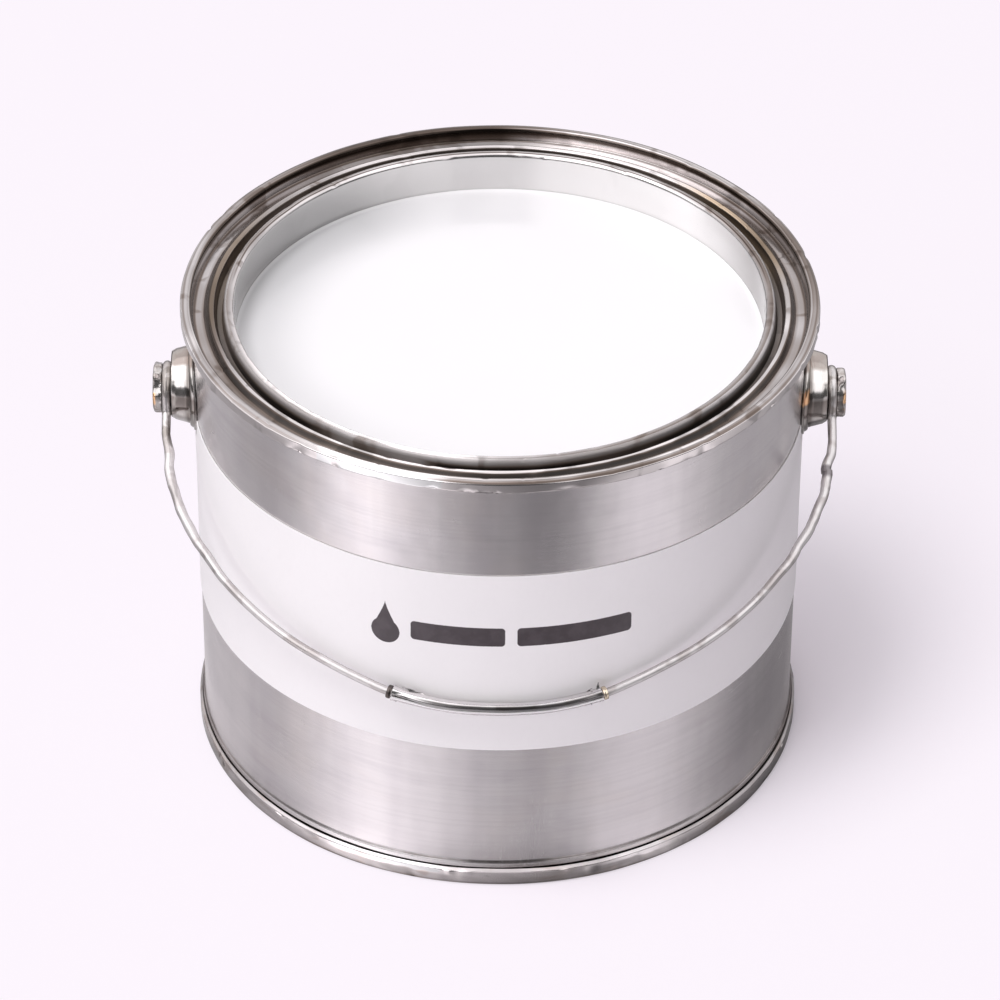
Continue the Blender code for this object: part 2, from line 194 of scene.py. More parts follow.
def lathe(name, outline, sides, shift, sharp=38.0):
    """Spins a closed (r, z) outline about Z.

    shift(theta, arc, r, z) gives (dr, dz) for arrays; arc is the length along the outline.
    """
    points = np.array([tuple(p) for p in outline], float)
    spans = np.linalg.norm(np.diff(points, axis=0), axis=1)
    lengths = np.concatenate([[0], np.cumsum(spans)])
    angles = np.arange(sides) * TURN / sides
    theta = np.tile(angles, (len(points), 1))
    arc, radius, height = (np.repeat(column[:, None], sides, axis=1)
                           for column in (lengths, points[:, 0], points[:, 1]))
    dr, dz = shift(theta, arc, radius, height)
    dr = np.where(radius < 1e-6, 0, dr)
    radius, height = radius + dr, height + dz
    verts, rings = [], []
    for i in range(len(points)):
        if points[i, 0] < 1e-6:                     # on the axis: one shared vertex
            rings.append([len(verts)] * sides)
            verts.append((0.0, 0.0, float(height[i, 0])))
        else:
            rings.append(list(range(len(verts), len(verts) + sides)))
            verts += list(zip(radius[i] * np.cos(angles), radius[i] * np.sin(angles), height[i]))
    faces = []
    for a, b in zip(rings, rings[1:] + rings[:1]):
        a_pole, b_pole = a[0] == a[1], b[0] == b[1]
        if a_pole and b_pole:
            continue
        for k in range(sides):
            after = (k + 1) % sides
            if a_pole:
                faces.append((a[0], b[after], b[k]))
            elif b_pole:
                faces.append((a[k], a[after], b[0]))
            else:
                faces.append((a[k], a[after], b[after], b[k]))
    return add_mesh(name, verts, faces, sharp)


def sweep(name, path, section, sharp, first):
    """Capped tube along path. section(i) gives (u, v) points in a frame carried without twist.

    first is the direction of u at the start.
    """
    rings = []
    normal = first
    last = len(path) - 1
    for i, point in enumerate(path):
        tangent = (path[min(i + 1, last)] - path[max(i - 1, 0)]).normalized()
        normal = (normal - tangent * normal.dot(tangent)).normalized()
        over = tangent.cross(normal)
        rings.append([tuple(point + normal * u + over * v) for u, v in section(i)])
    return add_loft(name, rings, sharp, closed=False)


# ------------------------------------------------------------------ unevenness helpers
def wrap(angle):
    """Angle brought to -pi .. pi."""
    return (angle + math.pi) % TURN - math.pi


def fade(value, start, end):
    """0 at start to 1 at end, straight between."""
    return np.clip((value - start) / (end - start), 0, 1)


def bell(value, centre, width):
    return np.exp(-((value - centre) / width) ** 2)


def ripple(theta, seed, low, high):
    """Smooth periodic noise round the can, about -1 to 1, with low to high waves per turn."""
    count = 10
    random = np.random.RandomState(seed)
    total = np.zeros_like(theta)
    for _ in range(count):
        waves = random.randint(low, high + 1)
        total = total + random.uniform(0.4, 1.0) * np.cos(waves * theta + random.uniform(0, TURN))
    return total / math.sqrt(count) / 0.8


def wave(x, seed, lengths):
    """Smooth noise of x, about -1 to 1, from waves of the given lengths."""
    random = np.random.RandomState(seed)
    total = 0.0
    for length in lengths:
        total += random.uniform(0.5, 1) * math.sin(TURN * x / length + random.uniform(0, 6.28))
    return total / len(lengths)


def nicks(theta, place, seed, spans, count, depth, width, length):
    """Small smooth dents at random places; place is the coordinate that spans refer to.

    depth, width (round the can) and length (along place) are ranges to draw from.
    """
    random = np.random.RandomState(seed)
    total = np.zeros_like(theta)
    for _ in range(count):
        low, high = spans[random.randint(len(spans))]
        theta0, place0 = random.uniform(0, TURN), random.uniform(low, high)
        half_turn = random.uniform(*width) / SEAM_R
        half_length = random.uniform(*length)
        deep = random.uniform(*depth)
        skew = random.uniform(-0.7, 0.7)
        u = (wrap(theta - theta0) - skew * (place - place0) / SEAM_R) / half_turn
        v = (place - place0) / half_length
        square = u * u + v * v
        total = total + deep * np.exp(-square * square) * (square < 4)
    return total


def cuts(theta, r, places):
    """Short grooves across the profile: bearing, inner and outer radius, width, depth, lean."""
    total = np.zeros_like(theta)
    for bearing_deg, inner, outer, width, depth, lean in places:
        along = wrap(theta - math.radians(bearing_deg - 90)) * outer
        reach = fade(r, inner, inner + 0.4) * fade(r, outer, outer - 0.4)
        total = total + depth * bell(along - lean * (r - inner), 0, width) * reach
    return total


def wall_wave(theta, z):
    """Very shallow unevenness of the rolled wall and of the label on it."""
    total = 0.05 * ripple(theta, 11, 2, 6) + 0.028 * np.cos(z * 0.11 + 1.3) * ripple(theta, 12, 4, 13)
    total = total + 0.016 * np.cos(z * 0.23 + 0.4) * ripple(theta, 13, 9, 22)
    return total * (fade(z, 8, 16) * fade(z, 131, 123))


# ------------------------------------------------------------------ can pieces
def build_wall():
    middle = BODY_R - SHEET / 2
    # r, z, fillet radius, fillet steps
    line = fillet([
        (84.95, 133.85, 0, 0), (84.95, 134.75, 0.3, 4), (83.98, 134.75, 0.3, 4),
        (83.93, 133.2, 0.7, 5), (middle, 131.2, 1.5, 6), (middle, 7.55, 0.35, 4),
        (middle + 0.55, 6.75, 0.45, 5), (middle + 0.55, 5.65, 0.35, 4), (middle, 4.9, 0.4, 4),
        (middle, 1.65, 0.3, 4), (83.0, 1.65, 0.3, 4), (83.0, 3.3, 0, 0),
    ])

    def shift(theta, arc, r, z):
        # side seam at the back: a slight step with a narrow bead on it
        across = (theta - math.pi / 2) * BODY_R
        seam = 0.11 * bell(across, 0, 0.55) + 0.05 * (np.abs(across) < 4.5)
        ends = fade(z, 6, 9) * fade(z, 131.5, 129.5)
        return wall_wave(theta, z) + seam * ends * (r > BODY_R - SHEET / 2), 0 * z

    return lathe("can_wall", sheet(densify(line, 3.0), SHEET), 512, shift)


# bearing, inner radius, outer radius, width, depth, lean
CRACKS = [
    (-67, 78.0, 83.6, 0.32, 0.34, 0.3), (49, 78.2, 83.0, 0.4, 0.4, -0.4),
    (108, 79.0, 84.2, 0.3, 0.25, 0.2), (-102, 71.6, 73.4, 0.4, 0.35, 0.0),
    (88, 71.6, 74.0, 0.35, 0.3, 0.3), (-22, 83.0, 86.4, 0.4, 0.2, 0.5),
    (12, 71.5, 73.6, 0.3, 0.22, 0.2), (151, 71.5, 74.0, 0.5, 0.3, 0.6),
    (-140, 71.5, 74.0, 0.6, 0.3, -0.5), (128, 76.8, 78.4, 0.3, 0.25, 0.0),
    (-58, 71.6, 73.8, 0.5, 0.28, 0.4), (63, 71.6, 73.8, 0.6, 0.28, -0.4),
]
# bearing, width, depth
RIM_BITES = [
    (-112, 0.8, 0.5), (-117, 2.2, 0.3), (104, 1.6, 0.36), (81, 1.0, 0.3), (69, 0.9, 0.26),
    (-84, 1.6, 0.25), (118, 1.0, 0.3), (38, 1.3, 0.22), (-37, 1.6, 0.2),
]


def ring_dents(theta, r, z):
    """Wear of the lid ring as (dr, dz)."""
    face = (r > 84.9) & (z > 132.6)
    dr = nicks(theta, z, 35, [(132.9, 133.7)], 40,
               depth=(0.08, 0.2), width=(1.0, 5.0), length=(0.2, 0.4)) * face
    dr = dr - nicks(theta, z, 31, [(133.0, 134.0)], 46,
                    depth=(0.15, 0.42), width=(0.8, 3.4), length=(0.25, 0.5)) * face
    # seed, radial span, count, depth, width, length, where: crown, bead, lip, channel
    level_dents = [
        (32, (83.4, 85.8), 34, (0.05, 0.2), (0.4, 1.6), (0.3, 1.2), (z > CAN_H - 1.4) & (r > 83.0)),
        (33, (76.6, 78.6), 30, (0.05, 0.18), (0.4, 2.2), (0.3, 0.7),
         (z > 132.8) & (np.abs(r - 77.5) < 1.7)),
        (34, (71.5, 74.2), 44, (0.05, 0.22), (0.5, 2.6), (0.3, 0.9), (z > 133.6) & (r < 74.6)),
        (36, (79.3, 82.2), 30, (0.03, 0.12), (0.5, 3.0), (0.4, 1.0),
         (z > 132.0) & (z < 133.4) & (r > 79.0) & (r < 82.6)),
    ]
    dz = 0 * z
    for seed, span, count, depth, width, length, where in level_dents:
        dz = dz - nicks(theta, r, seed, [span], count, depth, width, length) * where
    dz = dz - cuts(theta, r, CRACKS) * (z > 132.0)
    bites = [(bearing_deg, 85.0, 87.0, width, depth, 0.0) for bearing_deg, width, depth in RIM_BITES]
    dr = dr - cuts(theta, r, bites) * (z > 133.2)
    return dr, dz


def build_ring():
    half = SHEET / 2
    crown, lip, neck, rim = CAN_H - half, LIP_Z - half, MOUTH_R + half, SEAM_R - half
    # r, z, fillet radius, fillet steps
    line = fillet([
        (84.45, 133.15, 0, 0), (rim, 133.15, 0.55, 6), (rim, crown - 0.42, 0.4, 6),
        (84.72, crown, 0.6, 4), (83.35, crown, 0.7, 7), (82.85, 132.45, 0.75, 6),
        (79.5, 132.55, 0.8, 4), (78.2, 133.85, 0.42, 6), (76.95, 133.85, 0.5, 6),
        (76.4, 130.9, 0.6, 5), (74.35, 130.9, 0.6, 5), (73.95, lip, 0.85, 9),
        (neck, lip, 0.9, 9), (neck, NECK_Z + 0.25, 0, 0),
    ])

    def shift(theta, arc, r, z):
        outer = fade(r, 83.0, 84.5)
        inner = fade(r, 79.0, 77.0) * fade(z, 129.0, 132.0)
        dr = (0.12 * ripple(theta, 21, 3, 11) + 0.022 * ripple(theta, 22, 14, 34)) * outer
        dz = (0.07 * ripple(theta, 23, 4, 12) + 0.018 * ripple(theta, 24, 15, 36)) * outer
        dr = dr + (0.07 * ripple(theta, 25, 3, 9) + 0.022 * ripple(theta, 28, 14, 36)) * inner
        dz = dz + (0.05 * ripple(theta, 26, 3, 10) + 0.02 * ripple(theta, 27, 12, 34)) * inner
        dent_r, dent_z = ring_dents(theta, r, z)
        return dr + dent_r, dz + dent_z

    return lathe("lid_ring", sheet(densify(line, 1.6), SHEET), 680, shift, sharp=44.0)


def build_base():
    half = SHEET / 2
    wall_r = BASE_R - half
    # r, z, fillet radius, fillet steps
    line = fillet([
        (83.2, 5.0, 0, 0), (wall_r, 4.3, 0.55, 6), (wall_r, half, 0.6, 6), (81.15, half, 0.5, 5),
        (81.05, 4.0, 0.6, 5), (66.5, 4.0, 0.8, 4), (65.5, 3.2, 0.8, 4), (38.0, 3.2, 1.5, 4),
        (36.6, 3.6, 1.5, 4), (0.0, 3.6, 0, 0),
    ])
    line = densify(line[:-1], 1.2) + densify(line[-2:], 12)[1:]
    outline = [Vector((0.0, p.y)) if p.x < 0.5 else p for p in sheet(line, SHEET, edge=0)]

    def shift(theta, arc, r, z):
        outer = fade(r, 82.6, 83.6)
        dr = (0.13 * ripple(theta, 41, 3, 10) + 0.03 * ripple(theta, 42, 16, 40)) * outer
        dz = 0.16 * ripple(theta, 43, 4, 14) + 0.06 * ripple(theta, 44, 18, 46)
        dz = dz * (fade(z, 3.4, 4.4) * outer)
        dents = nicks(theta, z, 45, [(0.8, 4.4)], 60,
                      depth=(0.1, 0.34), width=(0.3, 2.6), length=(0.22, 0.8))
        dents = dents - nicks(theta, z, 46, [(3.4, 4.6)], 34,
                              depth=(0.08, 0.26), width=(0.8, 3.4), length=(0.2, 0.5))
        return dr - dents * (r > 83.3) * fade(z, 0, 0.7), dz

    return lathe("base_end", outline, 720, shift)


def build_paint():
    wall_r = BODY_R - SHEET - 0.3
    floor_z = PAINT_LO.z
    slot_z = NECK_Z - 0.3
    flat_r = 66.5
    surface = [(r, PAINT_Z) for r in (0.0, 12, 24, 36, 46, 54, 60, 64, flat_r)]
    for k in range(1, 12):                          # the paint creeps up the neck
        r = flat_r + (MOUTH_R - 0.03 - flat_r) * (k / 11)
        surface.append((r, PAINT_Z + 0.55 * math.exp(-(MOUTH_R - r) / 0.9)))
    outline = [(0.0, floor_z), (wall_r, floor_z), (wall_r, PAINT_Z), (MOUTH_R + 1.1, PAINT_Z),
               (MOUTH_R + 0.8, slot_z), (MOUTH_R - 0.3, slot_z)] + surface[::-1]

    def shift(theta, arc, r, z):
        top = (z > PAINT_Z - 0.3) & (r < MOUTH_R - 0.5)
        swell = 0.02 * np.cos(r * 0.16 + 0.8) * ripple(theta, 51, 1, 4) * fade(r, 0, 20)
        return 0 * r, swell * top

    return lathe("paint_fill", map(Vector, outline), 256, shift, sharp=50)


LAP = (90 - 3.2, 90 + 2.3)                          # glued overlap, degrees from +X


def label_columns():
    """Angles of the label's columns, closer together at the notches and the overlap."""
    angles = set(np.round(np.linspace(0, 360, 480, endpoint=False), 4))
    reach = math.degrees(LABEL_NOTCH_R / BODY_R)
    for centre in (0.0, 180.0):
        for k in range(-24, 25):
            angles.add(round((centre + reach * math.sin(math.pi * k / 48)) % 360, 4))
    for angle in (LAP[0] - 0.05, LAP[0], LAP[1], LAP[1] + 0.05):
        angles.add(round(angle, 4))
    return np.radians(sorted(angles))


def build_label():
    """Paper band with round cut-outs under the ears and a glued overlap at the back."""
    low, high = LABEL_LO.z, LABEL_HI.z
    inner, thickness, rows = BODY_R + 0.1, 0.26, 26
    theta = label_columns()
    arc = np.minimum(np.abs(wrap(theta)), np.abs(theta - math.pi)) * BODY_R
    notch = EAR_Z - np.sqrt(np.maximum(LABEL_NOTCH_R ** 2 - arc ** 2, 0))
    top = np.where(arc < LABEL_NOTCH_R, np.minimum(high, notch), high)
    degrees = np.degrees(theta)
    lap = ((degrees >= LAP[0]) & (degrees <= LAP[1])).astype(float)

    def ring(radius, f):
        z = low + (top - low) * f
        torn = 0.04 * ripple(theta, 61, 5, 24) if f in (0.0, 1.0) else 0.0
        r = radius + wall_wave(theta, z)
        return list(zip(r * np.cos(theta), r * np.sin(theta), z + torn))

    outer = inner + thickness + 0.22 * lap
    edge = inner + thickness * 0.35
    rings = [ring(outer, k / rows) for k in range(rows + 1)] + [ring(edge, 1.0)]
    rings += [ring(inner, k / rows) for k in range(rows, -1, -1)] + [ring(edge, 0.0)]
    return add_loft("label_band", rings, sharp=40)


# ------------------------------------------------------------------ ears and rivets
def ear_profile():
    """Rings of the ear: radius, x (or height over the can wall for a saddle ring), kind."""
    face, back = EAR_FACE, EAR_FACE - EAR_SHEET
    hole = [(PIN_R + 0.25, face - 0.3), (PIN_R + 0.32, face - 0.05), (PIN_R + 0.6, face)]
    cup = [(7.9, face), (8.3, face + 0.02), (8.7, face - 0.02), (9.1, face)]
    for k in range(8):                              # rolled shoulder
        angle = math.radians(80 - 68 * k / 7)
        cup.append((EAR_R - 2.0 + 0.75 * math.cos(angle), face - 0.75 + 0.75 * math.sin(angle)))
    for x in (87.9, 87.3, 86.6, 85.9, 85.2, 84.8):
        cup.append((CUP_ROOT_R - CUP_TAPER * (x - CUP_ROOT_X), x))
    cup.append((EAR_R + 0.02, 84.5))
    raised = [(0.12, 1.0), (0.35, 1.02), (0.8, 0.85), (1.1, 0.45), (1.25, 0.08), (1.5, 0)]
    saddle = [(EAR_R + out, EAR_SHEET + height) for out, height in raised]
    saddle += [(EAR_FLANGE - 0.25, EAR_SHEET), (EAR_FLANGE, EAR_SHEET - 0.2), (EAR_FLANGE, 0.1),
               (EAR_FLANGE - 0.15, 0.0), (EAR_R - EAR_SHEET, 0.0)]
    inside = [(EAR_R - EAR_SHEET - 1.25, face - 1.2), (EAR_R - EAR_SHEET - 1.6, back)]
    parts = [("pin", hole), ("cup", cup), ("saddle", saddle), ("cup", inside),
             ("pin", [(PIN_R + 0.25, back)])]
    return [(radius, place, kind) for kind, rings in parts for radius, place in rings]


def build_ear(name, side):
    """Drawn cup with rolled shoulder on a saddle flange that follows the wall."""
    sides = 96
    saddle_r = BODY_R + 0.12
    angle = np.arange(sides) * TURN / sides
    uneven = 0.008 * ripple(angle, 71 + side, 2, 5) + 0.006 * ripple(angle, 73 + side, 5, 11)
    rings = []
    for radius, place, kind in ear_profile():
        wobble = 1 + uneven * (8.4 < radius < 10.7)
        y = radius * wobble * np.cos(angle)
        z = (PIN.z if kind == "pin" else EAR_Z) + radius * wobble * np.sin(angle)
        if kind == "saddle":
            x = np.sqrt((saddle_r + place) ** 2 - y ** 2)
        else:
            x = np.full(sides, place, float)
            if place > 88.0:
                x = x + 0.03 * ripple(angle, 75 + side, 2, 6)
        rings.append(list(zip(side * x, y, z)))
    return add_loft(name, rings, sharp=42)


def build_rivet(name, side):
    """Rivet lathed about Z, then turned to point outwards along X."""
    tail = EAR_FACE - 0.9
    under, top = HEAD_X
    # r, distance along the rivet
    points = [(0.0, tail - 1.3), (3.2, tail - 1.3), (5.9, tail - 1.15), (6.5, tail - 0.8),
              (6.6, tail - 0.4), (6.5, tail), (PIN_R, tail), (PIN_R, under),
              (HEAD_R - 0.25, under), (HEAD_R, under + 0.25), (HEAD_R, under + 0.9),
              (HEAD_R, top - 0.95)]
    for k in range(1, 7):
        angle = math.radians(90 * k / 6)
        points.append((HEAD_R - 0.85 + 0.85 * math.cos(angle), top - 0.95 + 0.85 * math.sin(angle)))
    points += [(5.3, top - 0.03), (4.4, top), (3.1, top), (2.6, top - 0.06), (2.25, top - 0.45),
               (1.9, top - 0.62), (1.0, top - 0.66), (0.0, top - 0.66)]

    def shift(theta, arc, r, z):
        head = (z > under + 0.1)
        turn = wrap(theta - math.pi / 2 * (1 + side))
        egg = -0.45 + 0.42 * np.cos(turn)
        spikes = 0.75 * bell(turn, 0.45 * side, 0.17) + 0.4 * bell(turn, -0.9 * side, 0.22)
        spikes = spikes * fade(z, under + 0.7, under + 1.7)
        uneven = 0.24 * ripple(theta, 81 + side, 2, 4) + 0.15 * ripple(theta, 87 + side, 5, 9)
        dr = (egg + spikes + uneven) * head * fade(r, 4.5, 6.5)
        dents = nicks(theta, arc, 84 + side, [(arc.max() * 0.5, arc.max() * 0.9)], 22,
                      depth=(0.08, 0.3), width=(6.0, 20.0), length=(0.4, 1.2))
        return dr - dents * (r > 4.0) * head, -0.6 * dents * head * (z > top - 0.6)

    obj = lathe(name, map(Vector, points), 96, shift, sharp=36)
    turn = Matrix.Rotation(math.radians(90.0 * side), 4, "Y")
    obj.data.transform(Matrix.Translation((0, 0, PIN.z * MM)) @ turn)
    return obj


# ------------------------------------------------------------------ bail
def bail_point(x, along, out=0.0):
    """Point at x, at a distance from the hinge in the bail's plane and out of that plane."""
    return Vector((x, 0.0, PIN.z)) + DOWN * along + OUT * out


def between(a, b, start, end, u):
    return a * ((end - u) / (end - start)) + b * ((u - start) / (end - start))


def bail_line(per):
    """Centripetal spline through both halves of the stations, per points to a span."""
    points = [Vector((-x, along)) for x, along in STATIONS[:0:-1]] + [Vector(p) for p in STATIONS]
    extended = [points[0] * 2 - points[1]] + points + [points[-1] * 2 - points[-2]]
    line = []
    for i in range(1, len(extended) - 2):
        p = extended[i - 1:i + 3]
        t = [0.0]
        for a, b in zip(p, p[1:]):
            t.append(t[-1] + math.sqrt((b - a).length))
        for k in range(per):
            u = t[1] + (t[2] - t[1]) * k / per
            a = [between(p[j], p[j + 1], t[j], t[j + 1], u) for j in range(3)]
            b = [between(a[j], a[j + 1], t[j], t[j + 2], u) for j in range(2)]
            line.append(between(b[0], b[1], t[1], t[2], u))
    line.append(points[-1])
    return line


def eye_path(side):
    """End loop of the wire, from the leg through a small bend and round the rivet."""
    steps = 64
    centre = math.sqrt((EYE_R + EYE_BEND) ** 2 - EYE_BEND ** 2)
    start = math.atan2(EYE_BEND, centre)
    x = side * EYE_X
    points = [bail_point(x, centre)]
    for k in range(1, 9):
        angle = -math.pi / 2 - (math.pi / 2 - start) * k / 8
        points.append(bail_point(x, centre + EYE_BEND * math.cos(angle),
                                 EYE_BEND + EYE_BEND * math.sin(angle)))
    for k in range(1, steps + 1):
        angle = start + (math.radians(342) - start) * k / steps
        points.append(bail_point(x, EYE_R * math.cos(angle), EYE_R * math.sin(angle)))
    return points


def leg_point(point):
    """Place and relative thickness of the wire where its line passes point."""
    side = 1 if point.x > 0 else -1
    along = point.y
    if abs(point.x) < 80:
        along = math.hypot(abs(point.x) - 90.0, point.y)
    bent = fade(along, 13.0, 19.0) * max(0.12, fade(along, 66.0, 44.0))
    sideways = 0.55 * math.tanh(1.8 * wave(along, 91 + side, (12.0, 19.0, 31.0))) * bent
    outwards = 0.5 * math.tanh(1.8 * wave(along, 95 + side, (11.0, 17.0, 29.0))) * bent
    sideways -= 0.45 * bell(along, 22.0, 4.0)
    if point.y < 30:
        sideways = min(sideways, 0.1)
    if 24.5 < along < 35.5:
        sideways = max(sideways, -0.12)
    lump = math.tanh(1.6 * wave(along, 99 + side, (5.5, 8.0, 13.0)))
    scale = 1.05 + 0.22 * bent + 0.11 * bent * lump
    if side > 0:
        scale += 0.16 * bell(along, 24.0, 1.6)      # a collar on the right leg
    if 26.0 < along < 34.0:
        scale = min(scale, 1.3)
    lean = abs(Vector((point.y - 40.0, 1.0)).normalized().x)
    place = bail_point(point.x + side * sideways * lean * 0.9,
                       point.y + sideways * (1 - lean) * 0.9, outwards)
    return place, scale


def build_wire():
    """Bail rod: even behind the sleeve, thicker and lumpy on the two legs."""
    sides, eye_scale = 24, 1.22
    middle = [leg_point(point) for point in bail_line(14)][1:-1]
    left, right = eye_path(-1)[::-1], eye_path(1)
    path = left + [place for place, _ in middle] + right
    scale = [eye_scale] * len(left) + [thick for _, thick in middle] + [eye_scale] * len(right)
    # even out the joins, then round the cut ends
    for _ in range(3):
        inner = [(a + 2 * b + c) / 4 for a, b, c in zip(scale, scale[1:], scale[2:])]
        scale = [scale[0]] + inner + [scale[-1]]
    for i, factor in enumerate((0.72, 0.9, 0.98)):
        scale[i] *= factor
        scale[-1 - i] *= factor

    def section(i):
        r = WIRE_R * scale[i]
        return [(r * math.cos(TURN * k / sides), r * math.sin(TURN * k / sides))
                for k in range(sides)]

    return sweep("bail_rod", path, section, sharp=70, first=Vector((1, 0, 0)))


def grip_points(x0, x1, count):
    """Points of the bail's centre line at even steps of x."""
    fine = bail_line(40)
    points = []
    for k in range(count + 1):
        x = x0 + (x1 - x0) * k / count
        for a, b in zip(fine, fine[1:]):
            if a.x - 1e-9 <= x <= b.x + 1e-9:
                f = (x - a.x) / (b.x - a.x)
                points.append(bail_point(x, a.y + (b.y - a.y) * f))
                break
    return points


GRIP_STEPS, GRIP_ARC = 150, 56                      # spans along and around the sleeve


def grip_section(i):
    """C-shaped section: outer skin from one lip of the slit to the other, then the inner."""
    x = -GRIP_HALF + 2 * GRIP_HALF * (i / GRIP_STEPS)
    turn = 150.0 - 12.0 * bell(x, -GRIP_HALF, 6.0) + 4.0 * wave(x, 111, (17.0, 29.0))
    slit = math.radians(11.0 + 3.0 * wave(x, 117, (5.0, 9.0)) + 24.0 * bell(x, -GRIP_HALF, 4.5)
                        + 10 * bell(x, GRIP_HALF, 3.0))
    flare = 0.34 * math.exp(-(x + GRIP_HALF) / 1.3) + 0.16 * math.exp(-(GRIP_HALF - x) / 1.0)
    grow = flare + 0.03 * wave(x, 113, (11.0, 23.0))
    outer, inner = GRIP_OUT + grow, GRIP_IN + grow
    start = math.radians(turn) + slit / 2
    end = math.radians(turn) + TURN - slit / 2
    angles = [start + (end - start) * k / GRIP_ARC for k in range(GRIP_ARC + 1)]
    points = []
    for angle in angles:
        # the sheet dips in at one lip of the slit and lifts at the other
        r = outer - (0.1 * math.exp(-((end - angle) / 0.2) ** 2)
                     - 0.1 * math.exp(-((angle - start) / 0.3) ** 2))
        points.append((r * math.cos(angle), r * math.sin(angle)))
    return points + [(inner * math.cos(a), inner * math.sin(a)) for a in angles[::-1]]


def paint_grip(tube):
    """Point attributes: edge is the painted highlight on the slit's lip, soot the painted shade band
    beside it.
    """
    edge = tube.data.attributes.new("edge", "FLOAT", "POINT")
    soot = tube.data.attributes.new("soot", "FLOAT", "POINT")
    ring = 2 * (GRIP_ARC + 1)
    for i in range(ring * (GRIP_STEPS + 1)):
        k, x = i % ring, -GRIP_HALF + 2 * GRIP_HALF * (i // ring) / GRIP_STEPS
        outside = k <= GRIP_ARC
        if outside:
            edge.data[i].value = max(0.0, 1.0 - k / 6.0)
        else:
            edge.data[i].value = 1.0 if k == ring - 1 else 0.0
        angle = 150.0 - 6.2 * (GRIP_ARC - k)
        # painted shade: a dark band along the sleeve, stored as soot
        band = bell(angle, 117.0, 22.0) if outside else 0.0
        run = max(fade(x, -3.0, 0.0) * fade(x, 15.0, 10.0), 0.72 * fade(x, -24.0, -16.0),
                  0.8 * fade(x, 12.0, 18.0))
        soot.data[i].value = band * run


# x, angle round the sleeve, root width, length outwards, drift along x, thickness
BURRS = [
    (-22.2, 46.0, 1.9, 1.75, -3.0, 0.9), (-20.0, 38.0, 2.0, 1.0, -2.6, 0.7),
    (26.6, 46.0, 1.0, 2.1, 0.1, 0.8), (24.0, 48.0, 0.9, 1.2, 1.0, 0.7),
    (24.6, 176.0, 0.9, 0.7, 0.4, 0.4), (-26.6, 200.0, 0.9, 0.6, -0.2, 0.5),
]


def add_burrs(tube):
    """Adds the flat-shaded, tapering burrs to the sleeve."""
    steps = 5
    verts, faces = [], []
    for x, degrees, width, lift, lean, thick in BURRS:
        angle = math.radians(degrees)
        outward = -DOWN * math.cos(angle) + OUT * math.sin(angle)
        along = Vector((1, 0, 0))
        across = outward.cross(along)
        root = grip_points(x, x + 0.01, 1)[0] + outward * (GRIP_OUT - 0.25)
        base = len(verts)
        for k in range(steps + 1):
            f = k / steps
            centre = (root + outward * (lift * f) + along * (lean * f * f)
                      + across * (0.25 * math.sin(3 * f)))
            w, t = width * (1 - 0.75 * f) / 2, thick * (1 - 0.6 * f) / 2
            for u, v in ((-w, -t), (w, -t), (w, t), (-w, t)):
                verts.append(tuple((centre + along * u + across * v) * MM))
        for k in range(steps):
            for q in range(4):
                i, j = base + 4 * k + q, base + 4 * k + (q + 1) % 4
                faces.append((i, j, j + 4, i + 4))
        faces.append((base + 3, base + 2, base + 1, base))
        tip = base + 4 * steps
        faces.append((tip, tip + 1, tip + 2, tip + 3))
    bm = bmesh.new()
    bm.from_mesh(tube.data)
    made = [bm.verts.new(v) for v in verts]
    for corners in faces:
        bm.faces.new([made[i] for i in corners]).smooth = False
    bmesh.ops.recalc_face_normals(bm, faces=bm.faces[:])
    bm.to_mesh(tube.data)
    bm.free()


def build_grip():
    """Rolled sleeve with a winding slit, flared mouths and a few burrs."""
    path = grip_points(-GRIP_HALF, GRIP_HALF, GRIP_STEPS)
    tube = sweep("grip_tube", path, grip_section, sharp=34, first=-DOWN)
    paint_grip(tube)
    add_burrs(tube)
    return tube


def build_ferrule(name, side):
    sides = 40
    near = GRIP_HALF + FERRULE_GAP
    start, end = grip_points(side * near, side * (near + FERRULE_LENGTH), 1)
    # share of the length, radius
    outline = [(0.0, GRIP_IN), (0.0, GRIP_OUT - 0.12), (0.1, GRIP_OUT), (0.5, GRIP_OUT + 0.05),
               (0.9, GRIP_OUT), (1.0, GRIP_OUT - 0.12), (1.0, GRIP_IN), (0.5, GRIP_IN - 0.05)]
    span = end - start
    axis = span.normalized()
    u = (-DOWN - axis * (-DOWN).dot(axis)).normalized()
    v = axis.cross(u)
    rings = []
    for f, radius in outline:
        ring = []
        for k in range(sides):
            angle = TURN * k / sides
            r = radius * (1 + 0.02 * math.sin(3 * angle + side))
            ring.append(tuple(start + span * f + u * r * math.cos(angle) + v * r * math.sin(angle)))
        rings.append(ring)
    return add_loft(name, rings, sharp=40)


